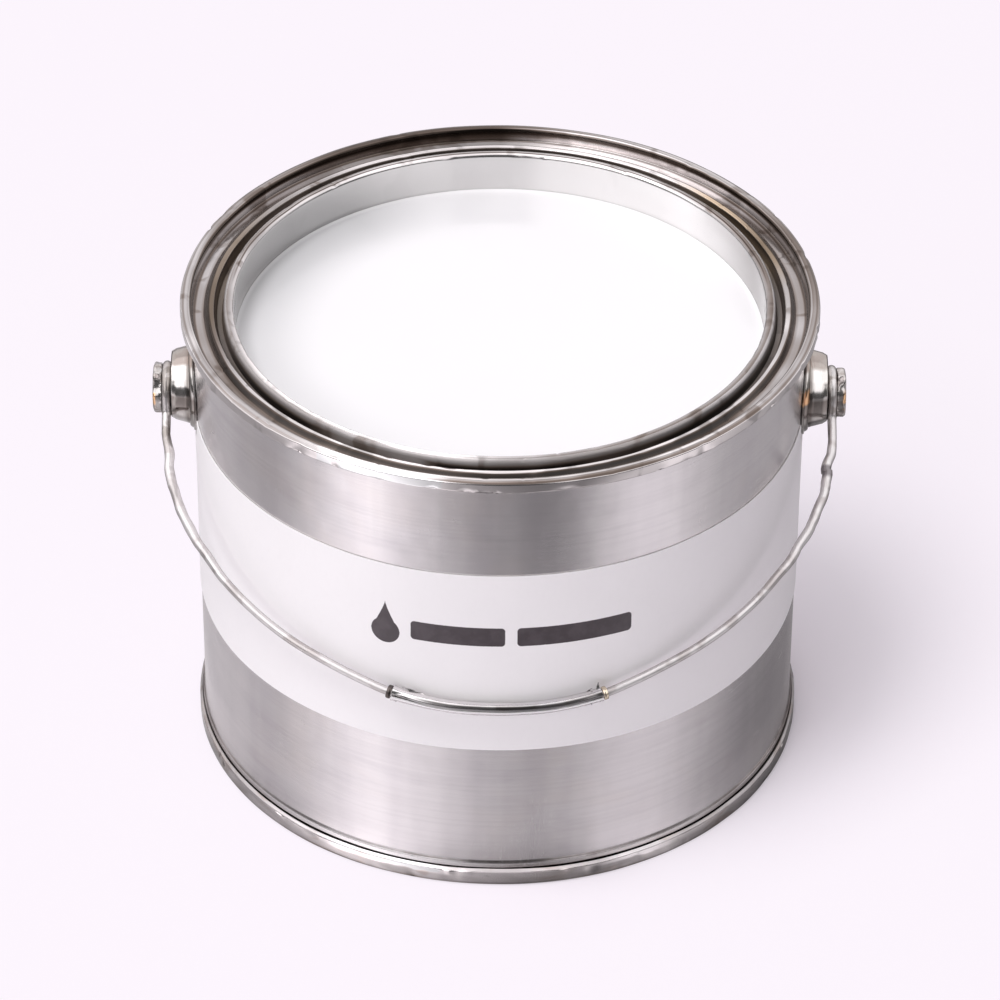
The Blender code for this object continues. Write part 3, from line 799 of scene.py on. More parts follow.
# ------------------------------------------------------------------ shader maths
class Value:
    """A shader output that can be used in sums; every operation adds a node to its tree."""

    def __init__(self, tree, socket):
        self.tree, self.socket = tree, socket

    def __add__(self, other):
        return maths("ADD", self, other)

    def __radd__(self, other):
        return maths("ADD", other, self)

    def __sub__(self, other):
        return maths("SUBTRACT", self, other)

    def __rsub__(self, other):
        return maths("SUBTRACT", other, self)

    def __mul__(self, other):
        return maths("MULTIPLY", self, other)

    def __truediv__(self, other):
        return maths("DIVIDE", self, other)

    def __abs__(self):
        return maths("ABSOLUTE", self)

    def ramp(self, start, end, to=(0.0, 1.0)):
        """Smooth step from to[0] at start to to[1] at end."""
        return call("ShaderNodeMapRange", dict(enumerate((self, start, end, *to))),
                    interpolation_type="SMOOTHSTEP", clamp=True)

    def window(self, start1, end1, start2, end2):
        """Product of two ramps, 1 only between them."""
        return self.ramp(start1, end1) * self.ramp(start2, end2)

    def curve(self, stops, smooth=False):
        """Value read off a line through stops (x, y); up to 32 of them."""
        low, high = stops[0][0], stops[-1][0]
        top = max(y for _, y in stops)
        node = self.tree.nodes.new("ShaderNodeValToRGB")
        node.color_ramp.interpolation = "B_SPLINE" if smooth else "LINEAR"
        elements = node.color_ramp.elements
        while len(elements) > 1:
            elements.remove(elements[-1])
        for i, (x, y) in enumerate(stops):
            place = (x - low) / (high - low)
            element = elements[0] if i == 0 else elements.new(place)
            element.position = place
            element.color = (y / top, y / top, y / top, 1)
        put(node.inputs[0], (self - low) / (high - low))
        return Value(self.tree, node.outputs[0]) * top

    def split(self):
        node = self.tree.nodes.new("ShaderNodeSeparateXYZ")
        put(node.inputs[0], self)
        return [Value(self.tree, socket) for socket in node.outputs]

    def noise(self, scale, detail=3.0, rough=0.5, distort=0.0):
        """Noise at this place; scale is one number or one for each axis."""
        vector = self
        if isinstance(scale, tuple):
            vector, scale = scaled(self, scale), 1.0
        return call("ShaderNodeTexNoise", {"Vector": vector, "Scale": scale, "Detail": detail,
                                           "Roughness": rough, "Distortion": distort}, "Fac")


def put(socket, value):
    """Links a Value to the socket, or stores a number, vector or RGB colour in it."""
    if isinstance(value, Value):
        value.tree.links.new(value.socket, socket)
    elif socket.type == "RGBA":
        socket.default_value = (*value, 1)
    else:
        socket.default_value = value


def call(kind, inputs, output=0, **settings):
    """Adds a node with the given inputs to the tree of the first Value among them."""
    tree = next(v.tree for v in inputs.values() if isinstance(v, Value))
    result = source(tree, kind, output, **settings)
    for key, value in inputs.items():
        put(result.socket.node.inputs[key], value)
    return result


def source(tree, kind, output=0, **settings):
    node = tree.nodes.new(kind)
    for key, value in settings.items():
        setattr(node, key, value)
    return Value(tree, node.outputs[output])


def maths(operation, *terms):
    return call("ShaderNodeMath", dict(enumerate(terms)), operation=operation)


def largest(a, b):
    return maths("MAXIMUM", a, b)


def smallest(a, b):
    return maths("MINIMUM", a, b)


def hypot(a, b):
    return maths("SQRT", a * a + b * b)


def radius_mm(x, y):
    return hypot(x, y) * 1000.0


def bearing(x, y, unit=DEGREES):
    return maths("ARCTAN2", x, y * -1.0) * unit


def blend(factor, a, b):
    return a + factor * (b - a)


def mix(factor, a, b):
    return call("ShaderNodeMix", {0: factor, 6: a, 7: b}, 2, data_type="RGBA", blend_type="MIX")


def times(a, b, factor=1.0):
    return call("ShaderNodeMix", {0: factor, 6: a, 7: b}, 2,
                data_type="RGBA", blend_type="MULTIPLY")


def grey(value):
    return call("ShaderNodeCombineColor", {0: value, 1: value, 2: value})


def scaled(vector, scale):
    return call("ShaderNodeVectorMath", {0: vector, 1: scale}, operation="MULTIPLY")


def near(vector, direction, inner, outer):
    """1 where vector lies within inner degrees of direction, 0 beyond outer degrees."""
    dot = call("ShaderNodeVectorMath", {0: vector, 1: direction}, "Value", operation="DOT_PRODUCT")
    return dot.ramp(math.cos(math.radians(outer)), math.cos(math.radians(inner)))


def bump(height, distance, **normal):
    """Bumped normal; Normal= may pass one to build on."""
    return call("ShaderNodeBump",
                {"Strength": 1.0, "Distance": distance, "Height": height, **normal})


def new_material(name):
    material = bpy.data.materials.new(name)
    material.use_nodes = True
    material.node_tree.nodes.clear()
    return material, material.node_tree


def object_place(tree):
    return source(tree, "ShaderNodeTexCoord", "Object")


def attribute(tree, name):
    return source(tree, "ShaderNodeAttribute", "Fac", attribute_name=name)


def surface(tree, shader, kind="ShaderNodeOutputMaterial"):
    put(tree.nodes.new(kind).inputs["Surface"], shader)


def principled(tree, **inputs):
    shader = source(tree, "ShaderNodeBsdfPrincipled")
    for key, value in inputs.items():
        put(shader.socket.node.inputs[key.replace("_", " ")], value)
    surface(tree, shader)


# ------------------------------------------------------------------ metal
def scratch_lines(pos):
    """Sparse scratches: thin ridges of stretched noise in two directions."""
    lines = []
    # noise stretch, distortion, line width, scale of the patches, start and end of their edge
    for stretch, distort, width, patch, start, end in (
            ((60, 60, 900), 0.6, 0.006, 55.0, 0.56, 0.66),
            ((700, 520, 90), 0.8, 0.005, 43.0, 0.58, 0.68)):
        ridge = pos.noise(stretch, detail=2.0, distort=distort)
        line = abs(ridge - 0.5).ramp(0.0, width, to=(1.0, 0.0))
        lines.append(line * pos.noise(patch, detail=2.0).ramp(start, end))
    return largest(*lines)


def metal(name, colour, rough, uneven, warm, brush, depth, scratch, stain, warm_scale=90.0,
          aniso=0.0, pits=0.0, tone=None, dull=None, cloud=0.0, rim=0.0):
    """Worn tinplate or steel.

    uneven: spread of the gloss; warm: heat tint; brush, depth: stretch and height of brushing;
    aniso: stretch of highlights round Z; tone(pos, base): recolours; dull(pos): where it is
    not metallic; cloud: height of broad waviness; rim: painted shade, darker where it turns
    away from view.
    """
    material, tree = new_material(name)
    pos = object_place(tree)
    brushed = pos.noise(brush, detail=4.0, rough=0.6)
    fine = pos.noise(tuple(3.1 * b for b in brush), detail=2.0)
    blot = pos.noise(38.0, detail=4.0, rough=0.55, distort=0.4)
    scratches = scratch_lines(pos)
    red, green, blue = colour
    base = mix(blot.ramp(0.35, 0.7) * (stain * 2), colour, tuple(c * 0.82 for c in colour))
    if warm > 0:
        tint = pos.noise(warm_scale, rough=0.6, distort=0.5).ramp(0.5, 0.72)
        base = mix(tint * warm, base, (red * 0.98, green * 0.84, blue * 0.68))
    if pits > 0:
        pit = pos.noise(260.0, rough=0.65, distort=0.3).ramp(0.64, 0.74)
        base = mix(pit * pits, base, (0.10, 0.085, 0.075))
    base = mix(scratches * (scratch * 0.6), base, tuple(min(1.0, c * 1.25) for c in colour))
    if tone is not None:
        base = tone(pos, base)
    # painted shade: the colour darkens towards edges that turn away from view
    if rim > 0:
        away = source(tree, "ShaderNodeLayerWeight", "Facing")
        put(away.socket.node.inputs["Blend"], 0.5)
        base = mix(away.ramp(0.45, 0.9) * rim, base, (0.17, 0.145, 0.13))
    gloss = rough + (brushed - 0.5) * (uneven * 2)
    gloss = gloss + (blot - 0.5) * (uneven * 1.6)
    gloss = gloss + scratches * (0.12 * scratch)
    height = brushed * 1.0 + fine * 0.4
    height = height - scratches * (scratch * 1.2)
    normal = bump(height, depth * MM * 10)
    if cloud > 0:
        normal = bump(pos.noise(46.0, detail=2.0), cloud * MM, Normal=normal)
    shine = 1.0
    if dull is not None:
        soot = dull(pos)
        shine = 1.0 - soot
        gloss = gloss + soot * 0.25
    extra = {}
    if aniso > 0:
        tangent = source(tree, "ShaderNodeTangent", direction_type="RADIAL", axis="Z")
        extra = {"Anisotropic": aniso, "Anisotropic_Rotation": 0.25, "Tangent": tangent}
    principled(tree, Base_Color=base, Metallic=shine, Roughness=largest(gloss, 0.05),
               Normal=normal, **extra)
    return material


# ------------------------------------------------------------------ lid ring colour
# painted light and shade by radius, on level and on upright surfaces
RING_LEVEL = [
    (70, 1.0), (71.9, 0.95), (72.6, 0.78), (73.2, 0.62), (73.8, 0.36), (74.4, 0.26), (76.2, 0.28),
    (76.7, 0.5), (77, 1.0), (77.9, 1.0), (78.2, 0.30), (78.9, 0.14), (79.5, 0.42), (80.4, 0.62),
    (81.6, 0.60), (82.1, 0.26), (83.2, 0.18), (83.6, 0.42), (84.1, 0.85), (84.7, 0.95),
    (85.1, 0.60), (87, 0.56)]
RING_UPRIGHT = [
    (70, 0.95), (72.4, 0.82), (73.1, 0.3), (73.6, 0.05), (76.9, 0.05), (77.3, 0.5), (77.9, 0.55),
    (78.2, 0.12), (79.2, 0.08), (80, 0.25), (81.6, 0.25), (82.2, 0.10), (83.4, 0.08), (84.2, 0.2),
    (84.7, 0.8), (85.1, 1.1), (87, 1.2)]
# painted shade of the seam's inner wall by height
RING_CHUCK = [(132.2, 0.25), (132.8, 0.5), (134.4, 0.6), (135, 0.2), (137, 0.14)]
# by bearing: how dark the closing groove is painted (painted shade, partly residue), then the painted
# light and shade of each band
RING_GROOVE_SHADE = [
    (-180, 0.8), (-140, 0.7), (-105, 0.72), (-78, 0.7), (-70, 0.97), (-44, 1.0), (-36, 0.55),
    (-16, 0.5), (-11, 1.0), (13, 1.0), (20, 0.72), (32, 0.78), (38, 1.0), (78, 1.0), (92, 0.9),
    (108, 0.6), (140, 0.65), (180, 0.8)]
RING_NECK = [
    (-180, 1.0), (-162, 0.92), (-145, 0.78), (-125, 0.68), (-106, 0.8), (-90, 1.15), (-60, 1.0),
    (60, 0.8), (90, 0.68), (106, 0.76), (120, 1.0), (134, 1.22), (150, 1.16), (165, 1.06),
    (180, 1.0)]
RING_LIP = [
    (-180, 1.0), (-152, 0.98), (-136, 0.72), (-112, 0.62), (-84, 0.85), (-70, 1.2), (-56, 1.7),
    (-34, 2.2), (-14, 2.1), (-6, 1.1), (16, 0.9), (34, 0.76), (58, 0.6), (104, 0.5), (126, 0.75),
    (144, 1.05), (180, 1.0)]
RING_GROOVE = [(-180, 1.0), (180, 1.0)]
RING_BEAD = [
    (-180, 1.0), (-150, 0.85), (-132, 0.45), (-95, 0.32), (-76, 0.4), (-58, 0.85), (-20, 1.05),
    (25, 0.95), (58, 0.72), (88, 0.68), (112, 0.5), (128, 0.95), (180, 1.0)]
RING_CHANNEL = [
    (-180, 1.5), (-155, 1.1), (-125, 0.85), (-95, 0.85), (-72, 0.95), (-62, 0.66), (-44, 0.75),
    (-28, 0.85), (-10, 0.7), (12, 0.5), (32, 0.45), (48, 0.5), (56, 0.9), (85, 0.92), (118, 0.95),
    (140, 1.6), (165, 2.2), (180, 1.5)]
RING_WALL = [
    (-180, 0.7), (-140, 0.8), (-100, 1.0), (-75, 1.5), (-55, 1.3), (-30, 0.8), (30, 0.8),
    (60, 1.5), (85, 1.6), (110, 1.1), (140, 1.3), (165, 2.0), (180, 0.7)]
RING_CROWN = [
    (-180, 0.30), (-150, 0.28), (-128, 0.45), (-104, 0.62), (-60, 0.78), (-34, 1.0), (-28, 1.9),
    (-16, 1.9), (-8, 1.0), (30, 0.98), (60, 0.78), (84, 0.62), (98, 0.42), (112, 0.42),
    (124, 0.7), (150, 0.6), (170, 0.45), (180, 0.30)]
RING_RIM = [
    (-180, 0.45), (-130, 0.5), (-112, 0.8), (-60, 1.0), (-34, 1.0), (-28, 1.7), (-16, 1.7),
    (-8, 0.72), (34, 0.8), (60, 0.95), (80, 1.0), (94, 0.65), (112, 0.75), (118, 1.7),
    (166, 1.8), (180, 0.45)]
CROWN_FRONT = [(-180, 0.0), (-15, 0.0), (-8, 1.0), (44, 1.0), (66, 0.0), (180, 0.0)]
RING_GOLD = [
    (-180, 0.0), (-125, 0.0), (-112, 0.7), (-84, 0.7), (-76, 0.0), (96, 0.0), (106, 1.0),
    (132, 1.0), (142, 0.0), (180, 0.0)]
# final contrast curve
RING_CONTRAST = [(0, 0.0), (0.1, 0.05), (0.25, 0.15), (0.5, 0.42), (0.75, 0.76), (1, 1.05),
                 (2.4, 2.4)]


def ring_profile_tone(r, drifted, z, around, level):
    """Painted light and shade by place on the profile; drifted is the radius with wandering borders.
    """
    amount = blend(level, drifted.curve(RING_UPRIGHT), drifted.curve(RING_LEVEL))
    chuck = drifted.window(82.2, 82.6, 84.3, 83.9) * (1.0 - level)
    amount = largest(amount, chuck * z.curve(RING_CHUCK))
    # painted shade in the closing groove, lifted by bearing where it is painted less dark
    groove_lit = (1.0 - around.curve(RING_GROOVE_SHADE)) * r.window(77.0, 76.4, 73.3, 73.8)
    amount = largest(amount, groove_lit * 0.95)
    # painted shade on the lip's outer wall, darker towards the bottom of the groove
    lipward = z.ramp(132.2, 134.3) * r.window(75.2, 74.6, 73.0, 73.5)
    amount = largest(amount, lipward * 0.62)
    # painted shade on the lower edge of the seam's outer face
    skirt = z.ramp(133.4, 132.7) * r.ramp(84.0, 84.6)
    return amount * (1.0 - skirt * 0.5)


def ring_band_tone(r, drifted, around, level):
    """Painted light and shade of each band round the can, blended from the lip outwards."""
    crown = blend(r.ramp(85.2, 85.5), around.curve(RING_CROWN), around.curve(RING_RIM))
    # painted shade in front: only the crown's inner edge keeps its painted highlight
    dimmed = around.curve(CROWN_FRONT) * r.ramp(84.3, 84.7) * level
    crown = crown * (1.0 - dimmed * 0.45)
    zone = around.curve(RING_LIP)
    # start and end radius of each border, band outside it
    for start, end, band in ((73.3, 73.7, around.curve(RING_GROOVE)),
                             (76.6, 77.0, around.curve(RING_BEAD)),
                             (78.2, 78.6, around.curve(RING_CHANNEL)),
                             (82.2, 82.6, around.curve(RING_WALL)),
                             (83.6, 84.0, crown)):
        zone = blend(drifted.ramp(start, end), zone, band)
    return zone


def ring_tone(pos, base):
    """Painted shade and highlights, partly residue: nearly black in the closing groove, brown-grey in
    corners, bright on crests.
    """
    x, y, z = pos.split()
    r, z, around = radius_mm(x, y), z * 1000.0, bearing(x, y)
    drifted = r + (pos.noise(55.0, detail=1.0) - 0.5) * 0.8
    normal = source(pos.tree, "ShaderNodeNewGeometry", "Normal")
    level = abs(normal.split()[2]).ramp(0.55, 0.9)
    amount = ring_profile_tone(r, drifted, z, around, level)
    zone = ring_band_tone(r, drifted, around, level)
    patch = pos.noise((34, 34, 34), detail=1.0, distort=0.6).ramp(0.34, 0.66, to=(0.78, 1.12))
    smudge = pos.noise((95, 95, 60), detail=2.0, distort=0.8)
    patch = patch * smudge.ramp(0.56, 0.66, to=(1.0, 0.72))
    past_neck = r.ramp(71.4, 72.0)
    # painted light and shade on the inner neck wall by bearing
    amount = amount * blend(past_neck, around.curve(RING_NECK), patch * zone)
    # a dark hair line along the top of the lip at the back
    hair = abs(drifted - 72.55).ramp(0.3, 0.08) * abs(around).ramp(92.0, 108.0)
    amount = amount * (1.0 - hair * 0.6)
    amount = amount.curve(RING_CONTRAST)
    colour = mix(amount.ramp(0.05, 0.5), (1.0, 0.80, 0.67), (1.0, 0.975, 0.965))
    colour = mix(past_neck, (0.975, 1.0, 0.988), colour)
    # golden stretches of groove and channel on the left and the back right
    gold = drifted.window(74.0, 74.6, 79.4, 78.8) * around.curve(RING_GOLD)
    colour = mix(gold * 0.8, colour, (0.80, 0.60, 0.38))
    return times(times(base, grey(amount)), colour)


def ring_dull(pos):
    """Dull groove and corner beside the bead, and dull channel at the back."""
    x, y, _ = pos.split()
    r = radius_mm(x, y)
    groove = r.window(73.3, 73.8, 77.2, 76.7)
    corner = r.window(78.3, 78.7, 79.6, 79.2)
    channel = r.window(79.2, 79.6, 82.6, 82.2) * abs(bearing(x, y)).ramp(128.0, 150.0)
    return largest(largest(groove * 0.75, corner * 0.5), channel * 0.6)


# ------------------------------------------------------------------ base and wall colour
# painted shade by height: darker towards the floor
BASE_FACE = [(0, 0.2), (0.4, 0.3), (1.2, 0.7), (2.6, 0.85), (3.8, 1.0), (5.2, 1.05)]
# by bearing: painted highlight on the top edge, overall painted light and shade
BASE_HIGHLIGHT = [
    (-180, 0.0), (-36, 0.0), (-30, 0.8), (-22, 1.0), (-13, 1.0), (-9, 0.1), (20, 0.0),
    (25, 0.7), (31, 0.7), (36, 0.0), (180, 0.0)]
BASE_AROUND = [
    (-180, 0.8), (-86, 0.5), (-72, 0.5), (-60, 0.78), (-48, 1.1), (-40, 1.3), (-32, 1.0),
    (-24, 0.75), (-14, 1.0), (0, 1.15), (8, 1.0), (20, 0.62), (33, 0.75), (47, 0.66),
    (60, 0.52), (86, 0.52), (180, 0.8)]
# painted shade lines in the creases beside the foot bead, by height; browning of that bead by bearing
FOOT_SHADE_LINES = [
    (4.6, 0.8), (5.1, 0.7), (5.6, 0.1), (6.95, 0.0), (7.2, 0.8), (7.45, 0.7), (7.85, 0.05),
    (12, 0.0)]
FOOT_BROWN = [
    (-180, 0.5), (-90, 0.75), (-62, 0.6), (-46, 0.1), (-8, 0.0), (2, 0.45), (18, 0.6),
    (36, 0.4), (58, 0.75), (90, 0.75), (180, 0.5)]


def base_tone(pos, base):
    x, y, z = pos.split()
    r, z, around = radius_mm(x, y), z * 1000.0, bearing(x, y)
    # painted shade in the gap between wall and base, and darker towards the floor
    gap = r.ramp(83.2, 82.8) * z.ramp(5.1, 4.4)
    amount = z.curve(BASE_FACE) * (1.0 - gap * 0.7)
    patches = pos.noise((38, 38, 120), detail=2.0, distort=0.8)
    amount = amount * patches.ramp(0.36, 0.66, to=(0.72, 1.1))
    colour = mix(amount.ramp(0.15, 0.6), (1.0, 0.86, 0.76), (1.0, 0.975, 0.97))
    # painted highlight on the upper part of the seam face, then painted light and shade round the
    # base
    edge_highlight = around.curve(BASE_HIGHLIGHT) * (z + (patches - 0.5) * 3.0).ramp(2.7, 3.4)
    amount = amount * around.curve(BASE_AROUND)
    amount = amount + edge_highlight * 0.62
    colour = mix(edge_highlight, colour, (1.0, 1.0, 1.0))
    brown = pos.noise((60, 60, 200), detail=2.0, distort=1.0).ramp(0.54, 0.64)
    colour = mix(brown * 0.6, colour, (0.72, 0.62, 0.56))
    return times(times(base, grey(amount)), colour)


def base_dull(pos):
    z = pos.split()[2] * 1000.0
    return z.ramp(4.2, 4.7) * 0.5


def wall_tone(pos, base):
    """Slightly uneven upright bands, painted shade and highlight at the foot bead, soot near the side
    seam.
    """
    x, y, z = pos.split()
    z = z * 1000.0
    streak = pos.noise((85, 85, 4), detail=4.0, rough=0.6)
    base = times(base, (0.82, 0.81, 0.83), streak.ramp(0.35, 0.7, to=(0.0, 0.5)))
    smear = pos.noise((30, 30, 110), rough=0.6, distort=0.8)
    base = times(base, (0.85, 0.84, 0.86), smear.ramp(0.5, 0.75, to=(0.0, 0.4)))
    hair = pos.noise((9, 9, 1500), detail=2.0, rough=0.6)
    base = times(base, (0.86, 0.855, 0.865), hair.ramp(0.42, 0.62, to=(0.0, 0.3)))
    # painted shade lines in the creases beside the foot bead
    broken = pos.noise(90.0, rough=0.6).ramp(0.3, 0.6, to=(0.5, 1.0))
    base = mix(z.curve(FOOT_SHADE_LINES) * broken, base, (0.13, 0.11, 0.10))
    # painted highlight on the foot bead
    bead = z.window(5.3, 5.7, 7.0, 6.7)
    base = mix(bead * 0.6, base, (0.95, 0.93, 0.93))
    patches = pos.noise((60, 60, 200), detail=2.0, distort=0.8)
    brown = bearing(x, y).curve(FOOT_BROWN) * patches.ramp(0.36, 0.6, to=(0.55, 1.0))
    base = times(base, (0.40, 0.345, 0.32), brown * z.ramp(7.9, 7.2))
    seam = abs(x * 1000.0).ramp(5.5, 2.0) * y.ramp(0.0, 0.04)
    return mix(seam * 0.35, base, (0.42, 0.34, 0.30))


# ------------------------------------------------------------------ ear, rivet and bail colour
# painted shade of the ear where it meets the wall, by distance from the can's middle plane, and by
# height over its radius
EAR_ROOT_SHADE = [(81.5, 0.2), (83, 0.3), (83.5, 0.75), (84.3, 0.8), (84.9, 0.25), (85.5, 0.0), (90, 0.0)]
EAR_LOW_SHADE = [(-1.2, 0.85), (-0.9, 0.7), (-0.62, 0.3), (-0.35, 0.4), (-0.12, 0.85), (0.22, 0.95),
           (0.34, 0.3), (0.48, 0.0), (1.2, 0.0)]


def ear_tone(pos, base):
    x, y, z = pos.split()
    side, depth, height = abs(x) * 1000.0, y * 1000.0, z * 1000.0
    # painted shade where the cup meets the wall
    base = mix(side.curve(EAR_ROOT_SHADE), base, (0.10, 0.08, 0.065))
    radius = CUP_ROOT_R - (side - CUP_ROOT_X) * CUP_TAPER
    high = (height - EAR_Z) / radius
    # painted shade on the top of the cup, and in bands across its middle and bottom
    base = mix(high.ramp(0.86, 0.93) * 0.82, base, (0.24, 0.19, 0.165))
    base = mix(high.curve(EAR_LOW_SHADE), base, (0.20, 0.17, 0.155))
    smear = pos.noise((500, 140, 140), detail=2.0, distort=0.8)
    base = mix(smear.ramp(0.5, 0.62) * 0.4, base, (0.42, 0.40, 0.37))
    # one warm glint, high on the right ear's flange
    glint = height.window(PIN.z + 3.6, PIN.z + 4.6, PIN.z + 8.4, PIN.z + 7.2)
    glint = glint * depth.ramp(-7.0, -7.8)
    glint = glint * side.ramp(84.0, 83.6) * x.ramp(0.0, 0.01)
    return mix(glint * 0.75, base, (1.0, 0.56, 0.28))


def rivet_tone(pos, base):
    """Dark blots, and a warm glint on the head."""
    x, _, z = pos.split()
    side, height = abs(x) * 1000.0, z * 1000.0
    blot = pos.noise(190.0, rough=0.6).ramp(0.40, 0.62, to=(0.15, 0.8))
    base = mix(blot, base, (0.24, 0.20, 0.18))
    spot = height.window(PIN.z - 1.5, PIN.z + 0.2, PIN.z + 5.0, PIN.z + 3.0)
    glint = spot * side.ramp(92.9, 93.5) * pos.noise(330.0, detail=2.0).ramp(0.44, 0.54)
    return mix(glint * 0.85, base, (1.0, 0.58, 0.28))


# metres to millimetres along the bail, for -y and for the drop below the hinge
ALONG_Y, ALONG_DROP = 894.4, 447.3


def wire_tone(pos, base):
    """Blotches, sooty end loops and a dark ring on the right leg."""
    blot = pos.noise(120.0, detail=2.0, distort=0.6).ramp(0.48, 0.60, to=(0.0, 0.5))
    base = mix(blot, base, (0.34, 0.30, 0.29))
    x, y, z = pos.split()
    eye = (abs(x) * 1000.0).ramp(88.9, 89.3) * (z * 1000.0).ramp(PIN.z - 8.0, PIN.z - 5.0)
    soot = pos.noise(210.0, detail=2.0, rough=0.55, distort=0.8).ramp(0.38, 0.56, to=(0.9, 0.15))
    base = mix(eye * soot, base, (0.34, 0.31, 0.285))
    along = y * -ALONG_Y + (PIN.z * MM - z) * ALONG_DROP
    collar = along.window(22.0, 23.2, 27.0, 25.4) * x.ramp(0.0, 0.01)
    return mix(collar * 0.8, base, (0.13, 0.11, 0.12))


def wire_dull(pos):
    return pos.noise(90.0, detail=2.0).ramp(0.3, 0.7, to=(0.05, 0.3))


def grip_tone(pos, base):
    """Painted highlight on the lip, bluer right half, painted shade band from the soot attribute."""
    edge = attribute(pos.tree, "edge")
    # painted highlight on the slit's lip
    base = mix(edge, base, (0.93, 0.91, 0.92))
    rightward = (pos.split()[0] * 1000.0).ramp(-8.0, 14.0)
    base = mix(rightward * 0.25 * (1.0 - edge), base, (0.42, 0.44, 0.48))
    # painted shade band along the sleeve
    return mix(attribute(pos.tree, "soot") * 0.92, base, (0.11, 0.09, 0.085))


def grip_dull(pos):
    return attribute(pos.tree, "edge") * 0.8


# ------------------------------------------------------------------ label, paint, compound
MARK_Z = 84.2                                       # middle of the printed mark
BARS = [(-10.6, 12.6), (20.8, 15.6)]                # centre to the right of the front, half width
BAR_HALF_H, BAR_CORNER = 3.0, 1.1
DROP_U, DROP_Z, DROP_R = -30.3, MARK_Z - 1.9, 4.0
DROP_TIP, DROP_HALF, DROP_POWER = 9.6, 4.15, 1.25   # height, half width and curve of its point


def mark_distance(u, v):
    """Distance outside the printed mark: a drop and two solid bars."""
    bars = []
    for centre, half in BARS:
        over_u = largest(abs(u - centre) - (half - BAR_CORNER), 0.0)
        over_v = largest(abs(v - MARK_Z) - (BAR_HALF_H - BAR_CORNER), 0.0)
        bars.append(hypot(over_u, over_v) - BAR_CORNER)
    # drop: a circle below, a point above whose sides run into it
    du, dv = u - DROP_U, v - DROP_Z
    circle = hypot(du, dv) - DROP_R
    taper = largest(1.0 - dv / DROP_TIP, 0.0001)
    half = maths("POWER", taper, DROP_POWER) * DROP_HALF
    cone = largest(abs(du) - half, dv * -1.0)
    cone = largest(cone, dv - DROP_TIP)
    return smallest(smallest(circle, cone), smallest(*bars))


def label_material():
    """Satin paper with a faint fibre and a printed mark."""
    material, tree = new_material("label_paper_print")
    pos = object_place(tree)
    x, y, z = pos.split()
    u, v = bearing(x, y, unit=LABEL_HI.x), z * 1000.0       # millimetres round and up the wall
    bleed = (pos.noise(1500.0, detail=2.0, rough=0.6) - 0.5) * 0.12
    ink = (mark_distance(u, v) + bleed).ramp(-0.07, 0.07, to=(1.0, 0.0))
    fibre = pos.noise((900, 900, 420), detail=4.0, rough=0.6)
    cloud = pos.noise(26.0)
    paper = mix(cloud.ramp(0.3, 0.7), (0.885, 0.873, 0.872), (0.91, 0.898, 0.896))
    paper = mix(fibre.ramp(0.45, 0.75) * 0.12, paper, (0.825, 0.812, 0.81))
    edge = largest(v.ramp(LABEL_LO.z + 0.5, LABEL_LO.z), v.ramp(LABEL_HI.z - 0.5, LABEL_HI.z))
    paper = mix(edge * 0.25, paper, (0.93, 0.925, 0.93))
    inked = mix(pos.noise(240.0, rough=0.6).ramp(0.35, 0.7),
                (0.062, 0.05, 0.056), (0.082, 0.068, 0.075))
    rough = 0.42 + (fibre - 0.5) * 0.2
    rough = rough - ink * 0.08
    height = fibre * 0.6 + ink * 0.4
    principled(tree, Base_Color=mix(ink, paper, inked), Roughness=rough,
               Normal=bump(height, 0.006 * MM * 5), Specular_IOR_Level=0.45)
    return material


# painted shadow on the paint by bearing, near the neck wall
PAINT_SHADOW = [(-180, 0.0), (-162, 0.35), (-145, 1.0), (-112, 1.0), (-85, 0.7), (-50, 0.5),
              (-22, 0.0), (160, 0.0), (180, 0.0)]


def paint_material():
    material, tree = new_material("wet_white_paint")
    pos = object_place(tree)
    soft = pos.noise(22.0)
    micro = pos.noise(420.0, detail=2.0)
    x, y, _ = pos.split()
    r = radius_mm(x, y)
    colour = mix(soft.ramp(0.3, 0.7), (0.955, 0.94, 0.957), (0.97, 0.955, 0.972))
    # painted shadow of the neck wall on the paint, strongest at the back left
    painted_shadow = r.ramp(47.0, 71.0) * bearing(x, y).curve(PAINT_SHADOW)
    colour = mix(painted_shadow * 0.92, colour, (0.56, 0.56, 0.57))
    # painted shade: slightly darker where the paint meets the neck wall
    rim = r.ramp(MOUTH_R - 1.4, MOUTH_R - 0.2)
    colour = mix(rim * 0.5, colour, (0.93, 0.925, 0.93))
    principled(tree, Base_Color=colour, Roughness=0.2 + (micro - 0.5) * 0.06,
               Normal=bump(soft + micro * 0.03, 0.00012), Coat_Weight=0.35, Coat_Roughness=0.08)
    return material


def compound_material():
    material, tree = new_material("sealing_compound")
    grain = object_place(tree).noise(300.0, detail=4.0, rough=0.6)
    principled(tree, Base_Color=mix(grain, (0.22, 0.19, 0.16), (0.36, 0.31, 0.26)),
               Roughness=grain.ramp(0.2, 0.8, to=(0.55, 0.8)), Normal=bump(grain, 0.0001))
    return material


# ------------------------------------------------------------------ build and dress the pieces
SIDES = ((-1, "left"), (1, "right"))

wall = build_wall()
ring = build_ring()
base_end = build_base()
paint = build_paint()
label = build_label()
ears = {side: build_ear("ear_cup_" + word, side) for side, word in SIDES}
rivets = {side: build_rivet("rivet_button_" + word, side) for side, word in SIDES}
rod = build_wire()
tube = build_grip()
ferrules = {side: build_ferrule("grip_ring_" + word, side) for side, word in SIDES}

